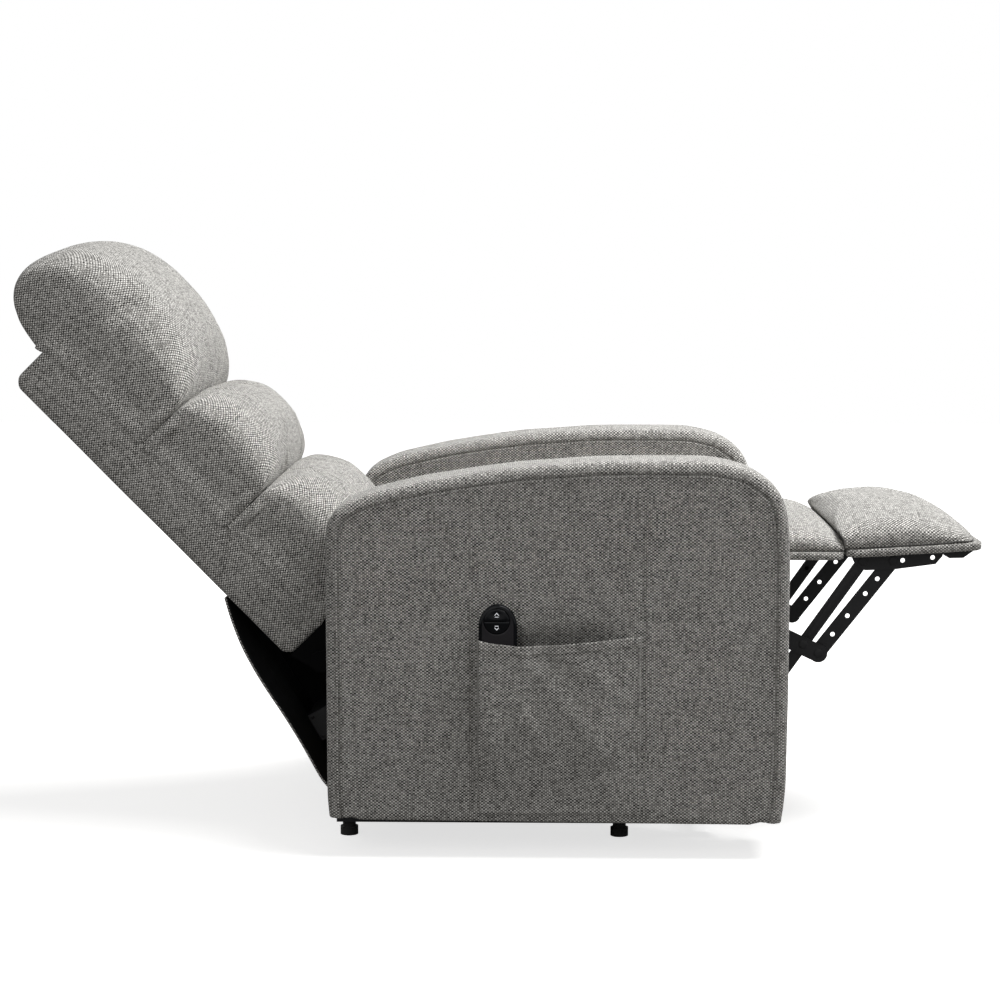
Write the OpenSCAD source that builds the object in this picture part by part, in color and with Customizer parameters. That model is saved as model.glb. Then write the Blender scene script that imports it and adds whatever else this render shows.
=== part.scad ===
// Power lift recliner chair: steel base, lift linkage, seat with arms,
// reclining back with three pillows, and a folding footrest.
// Stored with the back reclined and the footrest out. +X is the front,
// the pocket and handset are on the -Y side, and the floor is z = 0.

/* [Chair] */
// Width over the two arms
chair_w = 800; // [760:1:860]
// Width of one arm
arm_w = 130; // [100:1:150]
// Arm's highest point above the floor
arm_top = 649; // [620:1:690]
// Arm's underside above the floor, at its rear
arm_bottom = 66; // [60:1:75]
// Rear edge of the arms
arm_rear = -274; // [-285:1:-268]
// Front edge of the arms
arm_front = 471; // [465:1:500]
// How far the padded arm edges draw in
arm_edge = 14; // [6:1:20]

/* [Back] */
// Angle of the back from upright, as stored
back_angle = 44.5; // [40:0.5:46]
// Lower rear corner of the back, front to rear
back_x = -351; // [-356:1:-346]
// Lower rear corner of the back, height
back_z = 305; // [302:1:312]
// Length of the back frame
back_len = 646; // [600:1:690]
// Thickness of the boxed back frame
back_depth = 84; // [70:1:88]
// Gap from the back to each arm
back_gap = 8; // [6:1:30]
// Thickness of the head pillow, the others in proportion
pillow_thick = 207; // [190:1:215]
// Height of the seam between lumbar and middle pillow
lumbar_seam = 227; // [220:1:235]
// Height of the seam between middle and head pillow
head_seam = 423; // [410:1:435]
// Back's hinge, front to rear
hinge_x = -296; // [-298:1:-294]
// Back's hinge, height
hinge_z = 300; // [298:1:302]
// Hinge pin radius
hinge_r = 6; // [5:0.5:7]

/* [Seat] */
// Front of the seat cushion
seat_front = 385; // [375:1:390]
// Rear of the seat cushion
seat_rear = -78; // [-80:1:-60]
// Thickness of the seat cushion at its edge
seat_thick = 66; // [55:1:75]
// Crown of the seat cushion
seat_crown = 18; // [8:1:25]
// Side of the square seat tubes
seat_tube = 25; // [22:1:25]
// Top of the front seat tube
seat_tube_top = 427; // [426:1:428]
// Thickness of the wooden boards
board_t = 18; // [15:1:18]

/* [Base] */
// Height of the base rails
rail_h = 40; // [30:1:42]
// Width of the base rails
rail_w = 32; // [25:1:40]
// Underside of the base rails
rail_bottom = 24; // [20:1:26]
// Rear end of the base rails
rail_rear = -272; // [-280:1:-268]
// Front end of the base rails
rail_front = 372; // [340:1:380]
// Rear glides, front to rear
glide_rear = -252; // [-254:1:-245]
// Front glides, front to rear
glide_front = 205; // [180:1:300]
// Glide cap radius
glide_r = 15; // [12:1:16]
// Glide cap height
glide_h = 14; // [10:1:16]
// Glide stem radius
stem_r = 11; // [8:1:11]
// Rear base tube radius
base_tube_r = 15; // [12:1:15]

/* [Lift linkage] */
// Pivot of the long lift links on the base
lift_base = [226.7, 89]; // [60:0.1:240]
// Pivot of the long lift links on the chair
lift_chair = [-138.5, 89.6]; // [-145:0.1:100]
// Pivot of the short lift links on the base
prop_base = [301.5, 113.8]; // [100:0.1:310]
// Pivot of the short lift links on the chair
prop_chair = [85.7, 141.9]; // [80:0.1:145]
// Width of the lift links
lift_link_w = 28; // [24:1:30]
// Thickness of the lift links
lift_link_t = 6; // [4:0.5:6]
// Lift pivot pin radius
lift_pin_r = 7; // [6:0.5:8]
// Lift torsion tube radius
torsion_r = 14; // [12:1:15]
// Length of the crank on the torsion tube
crank_len = 110; // [105:1:112]
// How far the crank leans back from upright, as stored
crank_lean = 22; // [21:0.5:23]
// Actuator pivot on the base
motor_pivot = [-190, 110]; // [-195:1:115]
// Actuator rod radius
rod_r = 10; // [8:0.5:11]
// Actuator outer tube radius
sleeve_r = 18; // [16:0.5:20]

/* [Footrest linkage] */
// Pivot of the swing links on the chair
swing_pivot = [353.5, 394.8]; // [350:0.1:400]
// Pivot of the guide links on the chair
guide_pivot = [300.6, 380.8]; // [300:0.1:385]
// Swing link to long link pivot
cross_pivot = [514, 321]; // [320:1:515]
// Swing link to front link pivot
front_pivot = [540, 306]; // [305:1:541]
// Long link to footrest pivot
rest_rear_pivot = [613, 463]; // [462:1:614]
// Front link to footrest pivot
rest_front_pivot = [663, 464]; // [463:1:664]
// Long link to guide link pivot
guide_end = [454.1, 235.1]; // [235:0.1:455]
// Thickness of the footrest links
link_t = 3; // [2.5:0.5:3]
// Side gap between neighbouring links
link_gap = 1; // [0.8:0.1:1]
// Inner face of the innermost footrest links
link_inner = 194; // [190:1:195]
// Swing link width
swing_w = 30; // [24:1:30]
// Long link width
long_w = 20; // [18:1:22]
// Front link width
front_w = 26; // [22:1:28]
// Guide link width
guide_w = 22; // [20:1:24]
// Footrest link pin radius
link_pin_r = 4.5; // [4:0.5:4.5]
// Punched hole radius in the links
punch_r = 4; // [3:0.5:5]

/* [Footrest] */
// Gap from the footrest pads to the line of each arm
pad_gap = 12; // [8:1:30]
// Slope of the footrest board
rest_slope = 3.6; // [3:0.1:4]
// Thickness of the footrest boards
rest_board_t = 12; // [9:1:12]
// Front tip of the footrest
rest_tip = 804; // [795:1:810]

/* [Handset and pocket] */
// Handset width
handset_w = 65; // [55:1:68]
// Handset length
handset_len = 157; // [130:1:170]
// Handset thickness
handset_t = 15; // [13:0.5:15]
// Handset's top above the floor
handset_top = 419; // [405:1:430]
// Handset's centre, front to rear
handset_x = 2; // [0:1:4]
// Radius of the button pad
pad_r = 22; // [18:0.5:25]
// Travel of a button
button_travel = 1; // [0.8:0.1:1]
// Pocket's rear seam
pocket_rear = -35; // [-40:1:-33]
// Pocket's front seam
pocket_front = 223; // [210:1:235]
// Pocket cloth thickness
pocket_t = 3; // [2:0.5:3]

/* [Clearances] */
// Soft pieces to their neighbours
soft_gap = 0.4; // [0.3:0.1:0.5]
// Pin to bore
fit_gap = 0.05; // [0.02:0.01:0.1]
// Pin to the hole of an open lift pivot
lift_slack = 3.2; // [3:0.1:3.5]
// Pin to the hole of an open footrest pivot
rest_slack = 2.8; // [2.6:0.1:3]

/* [Hidden] */
$fn = 48;

steel = "#2a2b2d";
cloth = "#86837e";
lining = "#1d1d1f";
timber = "#b39569";

chair_half = chair_w / 2;
arm_in = chair_half - arm_w;
back_half = arm_in - back_gap;
pad_half = arm_in - pad_gap;

// Layers of the linkages across the chair, from the inside out
layer_b = link_inner;
layer_a = layer_b + link_t + link_gap;
layer_c = layer_a + link_t + link_gap;
plate_in = layer_c + link_t + link_gap;
plate_t = 4;
plate_out = plate_in + plate_t;
lift_in = plate_out + 1.5;
lift_out = lift_in + lift_link_t;
bracket_in = lift_out + 1.5;
bracket_t = 5;
rail_in = bracket_in + bracket_t;
rail_top = rail_bottom + rail_h;
rail_mid = rail_in + rail_w / 2;

// ---------- shared shapes ----------
// An outline in (x, z), drawn out across the chair from y0 to y1
module across(y0, y1) {
    translate([0, y1, 0]) rotate([90, 0, 0]) linear_extrude(y1 - y0) children();
}

// A round bar across the chair at the point p
module shaft(p, r, y0, y1) {
    translate([p[0], y1, p[1]]) rotate([90, 0, 0]) cylinder(r = r, h = y1 - y0);
}

// Left-hand pieces as drawn, right-hand ones mirrored
module on_side(left) {
    if (left) children();
    else mirror([0, 1, 0]) children();
}

// Outline of a flat bar from p to q, its round ends a little wider than its sides
eye = 0.8;
module bar(p, q, w) {
    d = q - p;
    translate(p) circle(d = w + eye);
    translate(q) circle(d = w + eye);
    translate(p) rotate(atan2(d[1], d[0])) translate([0, -w / 2]) square([norm(d), w]);
}

module hole(p, r) {
    translate(p) circle(r = r);
}

// A point on the line from p to q
function along(p, q, t) = p + (q - p) * t;

// Closed mesh of triangles over equal rings, capped with fans
function mean(ring) = [for (k = [0:2]) sum([for (p = ring) p[k]]) / len(ring)];
function sum(v, i = 0) = i < len(v) ? v[i] + sum(v, i + 1) : 0;
module loft(rings) {
    n = len(rings[0]);
    m = len(rings);
    pts = concat([for (r = rings) each r], [mean(rings[0]), mean(rings[m - 1])]);
    sides = [for (j = [0:m - 2], i = [0:n - 1])
        let (a = j * n + i, b = j * n + (i + 1) % n)
        each [[a, b, b + n], [a, b + n, a + n]]];
    caps = [for (i = [0:n - 1])
        each [[n * m, (i + 1) % n, i], [n * m + 1, (m - 1) * n + i, (m - 1) * n + (i + 1) % n]]];
    polyhedron(pts, concat(sides, caps));
}

// Rings across a cushion: how far out, and how much of the crown is left there
function crown_rings(half, edge) = [
    [-half, edge], [-half + 5, edge + (1 - edge) * 0.45], [-half + 16, edge + (1 - edge) * 0.75],
    [-half + 40, edge + (1 - edge) * 0.93], [-half * 0.5, 0.99], [0, 1],
    [half * 0.5, 0.99], [half - 40, edge + (1 - edge) * 0.93],
    [half - 16, edge + (1 - edge) * 0.75], [half - 5, edge + (1 - edge) * 0.45], [half, edge]];

// ---------- base ----------
module base_side_rail(left) color(steel) on_side(left)
    translate([rail_rear, rail_in, rail_bottom])
        difference() {
            cube([rail_front - rail_rear, rail_w, rail_h]);
            translate([-1, 2, 2]) cube([rail_front - rail_rear + 2, rail_w - 4, rail_h - 4]);
        }

base_tube_z = rail_bottom + rail_h / 2;
front_tube_x = rail_front - 30;
rear_tube_x = motor_pivot[0] - 18;
module base_front_tube() color(steel)
    shaft([front_tube_x, base_tube_z], base_tube_r, -rail_in, rail_in);

// The rear tube carries two lugs and the actuator's rear pin
housing_half = 30;
lug_t = 6;
lug_in = housing_half + 1;
lug_w = 26;
module base_rear_tube() color(steel) {
    shaft([rear_tube_x, base_tube_z], base_tube_r, -rail_in, rail_in);
    for (left = [false, true]) on_side(left) {
        across(lug_in, lug_in + lug_t) bar([rear_tube_x, base_tube_z], motor_pivot, lug_w);
        shaft(motor_pivot, lift_pin_r, housing_half - 10, lug_in + lug_t + 2);
    }
}

module floor_glide(x, left) color(steel) on_side(left) translate([x, rail_mid, 0]) {
    cylinder(r = glide_r, h = glide_h);
    cylinder(r = stem_r, h = rail_bottom);
}

// Upright plate on the rail with the two lower lift pins
module base_bracket(left) color(steel) on_side(left) {
    across(bracket_in, rail_in) {
        bar(lift_base, prop_base, 40);
        translate([lift_base[0] - 16, rail_bottom + 4])
            square([prop_base[0] - lift_base[0] + 30, lift_base[1] - rail_bottom - 4]);
    }
    for (p = [lift_base, prop_base]) shaft(p, lift_pin_r, lift_in + 0.1, rail_in);
}

// ---------- lift linkage ----------
module rear_lift_link(left) color(steel) on_side(left) across(lift_in, lift_out)
    difference() {
        bar(lift_base, lift_chair, lift_link_w);
        hole(lift_base, lift_pin_r + fit_gap);
        hole(lift_chair, lift_pin_r + fit_gap);
        for (t = [0.3, 0.45, 0.6]) hole(along(lift_base, lift_chair, t), punch_r);
    }

// Tube between the long lift links, with the slotted crank that the rod pushes
crank_end = lift_base + crank_len * [-sin(crank_lean), cos(crank_lean)];
crank_in = 14;
crank_t = 6;
crank_slot = crank_len * (1 - cos(crank_lean)) + 2;
module lift_torsion_tube() color(steel) {
    shaft(lift_base, torsion_r, -lift_in, lift_in);
    for (left = [false, true]) on_side(left) across(crank_in, crank_in + crank_t)
        difference() {
            bar(lift_base, along(lift_base, crank_end, 1.03), 34);
            bar(along(lift_base, crank_end, 1.01),
                along(lift_base, crank_end, 1 - crank_slot / crank_len), 2 * lift_pin_r + 3);
        }
}

module front_lift_link(left) color(steel) on_side(left) across(lift_in, lift_out)
    difference() {
        bar(prop_base, prop_chair, lift_link_w);
        hole(prop_base, lift_pin_r + fit_gap);
        hole(prop_chair, lift_pin_r + lift_slack);
        hole(along(prop_base, prop_chair, 0.5), punch_r);
    }

// ---------- actuator ----------
// Its own line runs from the base pivot to the crank's pin
rod_line = crank_end - motor_pivot;
rod_angle = atan2(rod_line[1], rod_line[0]);
rod_span = norm(rod_line);
sleeve_end = rod_span - 62;
rod_in = sleeve_end - 14;
module on_rod_line() {
    translate([motor_pivot[0], 0, motor_pivot[1]]) rotate([0, -rod_angle, 0]) children();
}
module lengthwise(r, x0, x1) {
    translate([x0, 0, 0]) rotate([0, 90, 0]) cylinder(r = r, h = x1 - x0);
}
housing_x = [-24, 62];
motor_y = -58;
motor_r = 25;
module actuator_housing() color(lining) on_rod_line() difference() {
    union() {
        translate([housing_x[0], -housing_half, -32])
            cube([housing_x[1] - housing_x[0], 2 * housing_half, 64]);
        translate([26, motor_y - motor_r, -27])
            cube([housing_x[1] - 26, -motor_y - housing_half + motor_r, 54]);
        lengthwise(sleeve_r, housing_x[1], sleeve_end);
    }
    for (s = [-1, 1]) shaft([0, 0], lift_pin_r + fit_gap, s * 25 - 6, s * 25 + 6);
    lengthwise(rod_r + 3, 40, rod_in);
    lengthwise(rod_r + fit_gap, rod_in - 1, sleeve_end + 1);
}
module actuator_motor() color(lining) on_rod_line() translate([0, motor_y, 0])
    lengthwise(motor_r, housing_x[1], housing_x[1] + 110);
eye_half = crank_in - 0.5;
module actuator_rod() color("#b8babd") on_rod_line() {
    lengthwise(rod_r, 46, rod_span - 16);
    across(-eye_half, eye_half) translate([rod_span, 0]) circle(r = 17);
    shaft([rod_span, 0], lift_pin_r, -crank_in - crank_t - 2, crank_in + crank_t + 2);
}

// ---------- chair frame ----------
seat_front_x = 309;
seat_rear_x = -87;
seat_rear_top = 400;
module mounting_plate(left) color(steel) on_side(left) {
    across(plate_in, plate_out) {
            polygon([lift_chair + [-16, 0], lift_chair + [16, -10],
                prop_chair + [-20, -16], prop_chair + [18, -12], [170, 215],
                guide_pivot + [-10, -24], swing_pivot + [12, -14],
                swing_pivot + [-16, seat_tube_top - seat_tube - swing_pivot[1]],
                [seat_front_x - 4, seat_tube_top - seat_tube],
                [seat_rear_x + seat_tube + 6, seat_rear_top - seat_tube],
                [seat_rear_x - 6, seat_rear_top - seat_tube], [-120, 330]]);
            hole(swing_pivot, 15);
            hole(guide_pivot, 16);
            hole(lift_chair, 18);
            hole(prop_chair, 20);
    }
    for (p = [lift_chair, prop_chair]) shaft(p, lift_pin_r, plate_in, lift_out + 1);
    shaft(swing_pivot, link_pin_r, layer_c + 0.1, plate_out);
    shaft(guide_pivot, link_pin_r, layer_b - 0.6, plate_out);
}
module seat_front_tube() color(steel)
    translate([seat_front_x, -arm_in, seat_tube_top - seat_tube])
        cube([seat_tube, 2 * arm_in, seat_tube]);
module seat_rear_tube() color(steel)
    translate([seat_rear_x, -arm_in, seat_rear_top - seat_tube])
        cube([seat_tube, 2 * arm_in, seat_tube]);

side_rail_z = 160;
side_rail_h = 110;
module seat_side_rail(left) color(timber) on_side(left)
    translate([arm_rear + 34, arm_in - board_t, side_rail_z])
        cube([arm_front - arm_rear - 120, board_t, side_rail_h]);

rear_board_x = arm_rear + 12;
rear_board_top = 215;
module rear_board() color(timber)
    translate([rear_board_x, -arm_in, arm_bottom])
        cube([board_t, 2 * arm_in, rear_board_top - arm_bottom]);

// Five spring wires from tube to tube under the cushion
spring_r = 2;
module seat_springs() color("#8d9094") {
    a = [seat_rear_x + 8, seat_rear_top + spring_r + 0.05];
    b = [seat_front_x, seat_tube_top + spring_r + 0.05];
    for (y = [-200:100:200])
        translate([a[0], y, a[1]]) rotate([0, atan2(a[1] - b[1], b[0] - a[0]), 0])
            rotate([0, 90, 0]) cylinder(r = spring_r, h = norm(b - a) + seat_tube - 4);
}

// Cushion lofted across the seat, thick in front and lower behind
seat_half = arm_in - soft_gap;
seat_base_front = seat_tube_top + 2 * spring_r + soft_gap;
seat_base_rear = seat_rear_top + 2 * spring_r + soft_gap;
module seat_cushion() color(cloth) {
    run = seat_front - seat_rear;
    base = function (x) seat_base_rear + 2.2 +
        (seat_base_front - seat_base_rear) * (x - seat_rear) / (seat_front_x + seat_tube - seat_rear);
    top = [[0.0, 0.2], [0.02, 0.7], [0.07, 0.95], [0.3, 1], [0.6, 1], [0.85, 1], [0.94, 0.93],
        [0.985, 0.7], [1, 0.3]];
    loft([for (r = crown_rings(seat_half, 0.8))
        concat([[seat_rear, r[0], base(seat_rear)]],
            [for (t = top) let (x = seat_rear + run * t[0])
                [x, r[0], base(x) + t[1] * (seat_thick + seat_crown * sin(180 * t[0])) * r[1]]],
            [[seat_front, r[0], base(seat_front)]])]);
}

// ---------- arms ----------
// Side outline of an arm: straight below, one long crown above, drawn in by d
module arm_outline(d) {
    offset(delta = -d) polygon([
        [arm_rear + 9, arm_bottom + 2], [arm_front - 17, arm_bottom - 4],
        [arm_front - 5, arm_bottom + 10], [arm_front, arm_bottom + 200],
        [arm_front, arm_top - 157], [arm_front - 4, arm_top - 87], [arm_front - 14, arm_top - 56],
        [arm_front - 33, arm_top - 34], [arm_front - 61, arm_top - 16],
        [arm_front - 84, arm_top - 9], [arm_front - 123, arm_top - 1],
        [arm_front - 239, arm_top], [arm_front - 304, arm_top - 1],
        [arm_front - 434, arm_top - 10], [arm_rear + 236, arm_top - 20],
        [arm_rear + 162, arm_top - 32], [arm_rear + 70, arm_top - 53],
        [arm_rear + 22, arm_top - 74], [arm_rear + 2, arm_top - 98], [arm_rear, arm_top - 127]]);
}
module arm(left) color(cloth) on_side(left) hull() {
    across(arm_in, chair_half) arm_outline(arm_edge);
    across(arm_in + 4, chair_half - 4) arm_outline(arm_edge * 0.36);
    across(arm_in + arm_edge, chair_half - arm_edge) arm_outline(0);
}

// ---------- pocket and handset ----------
pocket_depth = handset_t + 2 * soft_gap + pocket_t;
pocket_bottom = arm_bottom + arm_edge + 6;
pocket_mouth = [[pocket_rear - 5, 361], [-9, 353], [39, 348], [103, 353], [167, 362], [199, 367],
    [pocket_front + 5, 370], [pocket_front + 5, 0], [pocket_rear - 5, 0]];
module pocket_bulge(d) {
    hull() {
        across(-chair_half - 0.01, -chair_half + (d > 0 ? 1 : 0)) polygon([
            [pocket_rear + d, pocket_bottom + d], [pocket_front - d, pocket_bottom + d],
            [pocket_front - d, 420], [pocket_rear + d, 420]]);
        across(-chair_half - pocket_depth + d, -chair_half - 1) polygon([
            [handset_x - handset_w / 2 - 4 + d, 230], [160, 200], [170, 420],
            [handset_x - handset_w / 2 - 4 + d, 420]]);
    }
}
module pocket_panel() color(cloth) intersection() {
    difference() {
        pocket_bulge(0);
        pocket_bulge(pocket_t);
    }
    across(-chair_half - 60, -chair_half) polygon(pocket_mouth);
}

handset_out = chair_half + soft_gap + handset_t;
pad_at = [handset_x, handset_top - 29];
well_depth = button_travel + 1.8;
foot_r = 14;
module handset() color("#0d0d0e") {
    difference() {
        across(-handset_out, -chair_half - soft_gap) {
            hole([handset_x, handset_top - handset_w / 2], handset_w / 2);
            bar([handset_x - handset_w / 2 + foot_r, handset_top - handset_len + foot_r],
                [handset_x + handset_w / 2 - foot_r, handset_top - handset_len + foot_r],
                2 * foot_r - eye);
            translate([handset_x - handset_w / 2, handset_top - handset_len + foot_r])
                square([handset_w, handset_len - foot_r - handset_w / 2]);
        }
        shaft(pad_at, pad_r + 0.3, -handset_out - 1, -handset_out + well_depth);
    }
    translate([handset_x, -chair_half - soft_gap - handset_t / 2, handset_top - handset_len - 12])
        cylinder(r = 4, h = 14);
}
module button(up) color("#141415") {
    y0 = -handset_out - 0.8;
    y1 = -handset_out + well_depth - button_travel - 0.3;
    across(y0, y1) translate(pad_at) intersection() {
        circle(r = pad_r);
        translate([-pad_r, up ? 0.4 : -pad_r - 0.4]) square([2 * pad_r, pad_r]);
    }
}

// ---------- rear of the chair ----------
// Unit vectors up the back and out of its front
back_up = [-sin(back_angle), cos(back_angle)];
back_out = [cos(back_angle), sin(back_angle)];
back_corner = [back_x, back_z];
function on_back(u, v) = back_corner + u * back_up + v * back_out;

// Hanging cloth from the back's rear face down to the rear board
flap_t = 7;
flap_top = 146;
flap_sag = 29;
module rear_flap() color(cloth) {
    a = on_back(flap_top, -flap_t - soft_gap);
    b = [rear_board_x - soft_gap, arm_bottom];
    side = [b[1] - a[1], a[0] - b[0]] / norm(b - a);
    hang = function (d) [for (p = [[0.09, 0.34], [0.22, 0.59], [0.38, 0.66], [0.56, 0.52],
            [0.7, 0.52], [0.84, 0.59], [0.95, 0.79]])
        along(a, b, p[0]) + (p[1] * flap_sag - d) * side];
    inner = concat([on_back(flap_top, -soft_gap)], hang(flap_t),
        [[rear_board_x - soft_gap, arm_bottom + flap_t]]);
    across(-250, 250)
        polygon(concat([a], hang(0), [b], [for (i = [len(inner) - 1:-1:0]) inner[i]]));
}

// Control and supply box on a wedge behind the rear board, with its cable inlet
box_tilt = 29;
box_size = [50, 120, 50];
box_corner = [-332, 181];
box_y = -140;
box_x_dir = [cos(box_tilt), sin(box_tilt)];
box_z_dir = [sin(box_tilt), -cos(box_tilt)];
function on_box(a, b) = box_corner + a * box_x_dir + b * box_z_dir;
module power_supply() color(lining) {
    across(box_y, box_y + box_size[1])
        polygon([on_box(0, 0), on_box(box_size[0], 0),
            on_box(box_size[0], box_size[2]), on_box(0, box_size[2])]);
    shaft(on_box(25, 30), 6, box_y - 10, box_y);
}
module supply_bracket() color(steel) across(box_y + 20, box_y + 100)
    polygon([on_box(box_size[0], box_size[2]), on_box(box_size[0], 12),
        [rear_board_x, on_box(box_size[0], 12)[1]],
        [rear_board_x, on_box(box_size[0], box_size[2])[1]]]);

// ---------- back hinge ----------
hinge = [hinge_x, hinge_z];
hinge_plate_t = 5.5;
back_bracket_t = 5;
hinge_plate_in = arm_in - hinge_plate_t;
back_bracket_out = hinge_plate_in - 3;
module hinge_plate(left) color(steel) on_side(left) {
    across(hinge_plate_in, arm_in) {
        bar(hinge, [arm_rear + 80, hinge_z - 5], 34);
        bar(hinge, [arm_rear + 110, hinge_z + 62], 30);
    }
    shaft(hinge, hinge_r, back_bracket_out - back_bracket_t - 1, hinge_plate_in + 1);
}
module back_bracket(left) color(steel) on_side(left)
    across(back_bracket_out - back_bracket_t, back_bracket_out) difference() {
        hull() {
            hole(hinge, 17);
            polygon([on_back(0, 6), on_back(0, back_depth), on_back(-16, back_depth - 10),
                on_back(-16, 16)]);
        }
        hole(hinge, hinge_r + fit_gap);
    }

// ---------- back ----------
module back_frame() color(cloth) across(-back_half, back_half)
    polygon([on_back(0, 6), on_back(6, 0), on_back(back_len - 6, 0), on_back(back_len, 6),
        on_back(back_len, back_depth), on_back(0, back_depth)]);

// Cushion over the back: its outline in (up, out from the pillow's base),
// lofted across the width
pillow_base = back_depth + soft_gap;
pillow_scale = pillow_thick / 207;
crease = 142;
module pillow(outline) color(cloth)
    loft([for (r = crown_rings(back_half, 0.8)) [for (p = outline)
        let (u = p[0] <= back_len ? p[0] : back_len + (p[0] - back_len) * r[1],
            v = p[1] > 0 ? p[1] * pillow_scale * r[1] : p[1],
            q = on_back(u, pillow_base + v)) [q[0], r[0], q[1]]]]);

module lumbar_pillow() pillow([[4, 0], [4, 81], [10, 131], [36, 168],
    [lumbar_seam - 155, 186], [lumbar_seam - 117, 191], [lumbar_seam - 83, 188],
    [lumbar_seam - 52, 182], [lumbar_seam - 26, 172], [lumbar_seam - 8, 157],
    [lumbar_seam - soft_gap / 2, crease], [lumbar_seam - soft_gap / 2, 0]]);
middle_len = head_seam - lumbar_seam;
module middle_pillow() pillow([[lumbar_seam + soft_gap / 2, 0],
    [lumbar_seam + soft_gap / 2, crease], [lumbar_seam + 10, 159],
    [lumbar_seam + middle_len * 0.21, 172], [lumbar_seam + middle_len * 0.46, 179],
    [lumbar_seam + middle_len * 0.64, 178], [lumbar_seam + middle_len * 0.8, 171],
    [head_seam - 12, 159], [head_seam - soft_gap / 2, crease], [head_seam - soft_gap / 2, 0]]);
head_under = -24;
module head_pillow() pillow([[head_seam + soft_gap / 2, 0], [head_seam + soft_gap / 2, crease],
    [head_seam + 18, 162], [head_seam + 56, 182], [head_seam + 97, 197], [back_len - 80, 207],
    [back_len - 6, 207], [back_len + 51, 192], [back_len + 96, 161], [back_len + 116, 120],
    [back_len + 125, 88], [back_len + 125, 62], [back_len + 112, 29], [back_len + 96, 11],
    [back_len + 59, head_under + 13], [back_len + 6, head_under],
    [back_len + soft_gap, head_under], [back_len + soft_gap, 0]]);

// ---------- footrest ----------
module footrest_drive_tube() color(steel) shaft(swing_pivot, 8, -layer_c, layer_c);

module swing_link(left) color(steel) on_side(left) across(layer_c, layer_c + link_t)
    difference() {
        bar(swing_pivot, front_pivot, swing_w);
        for (p = [swing_pivot, cross_pivot, front_pivot]) hole(p, link_pin_r + fit_gap);
        for (t = [0.25, 0.5, 0.75]) hole(along(swing_pivot, cross_pivot, t), punch_r);
    }

module long_link(left) color(steel) on_side(left) {
    across(layer_a, layer_a + link_t) difference() {
        bar(rest_rear_pivot, guide_end, long_w);
        hole(rest_rear_pivot, link_pin_r + fit_gap);
        hole(guide_end, link_pin_r);
        for (t = [0.15, 0.3]) hole(along(rest_rear_pivot, guide_end, t), punch_r);
    }
    shaft(cross_pivot, link_pin_r, layer_a, layer_c + link_t + 0.5);
}

module front_link(left) color(steel) on_side(left) {
    across(layer_b, layer_b + link_t) difference() {
        bar(rest_front_pivot, front_pivot, front_w);
        hole(rest_front_pivot, link_pin_r + rest_slack);
        for (t = [0.2, 0.36, 0.6, 0.8]) hole(along(rest_front_pivot, front_pivot, t), punch_r);
    }
    shaft(front_pivot, link_pin_r, layer_b, layer_c + link_t + 0.5);
}

module guide_link(left) color(steel) on_side(left) {
    across(layer_b, layer_b + link_t) difference() {
        bar(guide_pivot, guide_end, guide_w);
        hole(guide_pivot, link_pin_r + fit_gap);
        for (t = [0.3, 0.5, 0.7]) hole(along(guide_pivot, guide_end, t), punch_r);
    }
    shaft(guide_end, 7, layer_b - 1.5, layer_b + 1);
}

// Underside of the footrest board: a line that rises to the front
board_start = [577, 475];
function on_rest(a, b) = board_start + a * [cos(rest_slope), sin(rest_slope)]
    + b * [-sin(rest_slope), cos(rest_slope)];
board_run = rest_tip - board_start[0] - 14;
module footrest_bracket(left) color(steel) on_side(left) {
    across(layer_c, layer_c + link_t) difference() {
        polygon([on_rest(14, 0), rest_rear_pivot + [-14, -4], rest_rear_pivot + [3, -15],
            rest_front_pivot + [4, -14], [734, 459], [745, 472], on_rest(172, 0)]);
        for (p = [[679, 465], [729, 470]]) hole(p, punch_r);
    }
    shaft(rest_rear_pivot, link_pin_r, layer_a - 0.5, layer_c + 1);
    shaft(rest_front_pivot, link_pin_r, layer_b - 0.6, layer_c + 1);
}
module footrest_board() color(timber) across(-pad_half + 12, pad_half - 12)
    polygon([on_rest(6, 0), on_rest(board_run, 0),
        on_rest(board_run, rest_board_t), on_rest(6, rest_board_t)]);
calf_rear = 399;
calf_z = 472;
module calf_board() color(timber)
    translate([calf_rear + 10, -pad_half + 12, calf_z])
        cube([board_start[0] - calf_rear - 14, 2 * pad_half - 24, rest_board_t]);

// Pads lofted across; each outline is in (x, z), with its flat base height.
// The two meet at a sewn valley.
valley = [[574, 509], [553, 536]];
seam_gap = 0.6;
pad_edge = 0.72;
module pad(outline, base, edge) color(cloth)
    loft([for (r = crown_rings(pad_half, edge)) [for (p = outline)
        [p[0], r[0], p[1] > base(p[0]) ? base(p[0]) + (p[1] - base(p[0])) * r[1] : p[1]]]]);
rest_thick = 75;
module footrest_pad() {
    base = function (x) on_rest(0, rest_board_t + soft_gap)[1]
        + (x - board_start[0]) * tan(rest_slope);
    crown = function (t, h) let (x = valley[1][0] + t * (rest_tip - valley[1][0]))
        [x, base(x) + h * rest_thick];
    pad(concat([[valley[0][0] + 5, base(valley[0][0])], valley[0], valley[1]],
        [crown(0.088, 0.8), crown(0.215, 0.9), crown(0.45, 0.94), crown(0.61, 0.88),
            crown(0.745, 0.72), crown(0.872, 0.49), crown(0.952, 0.25)],
        [[rest_tip, base(rest_tip) + 2], [rest_tip - 5, base(rest_tip - 5)]]),
        base, pad_edge);
}
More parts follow.
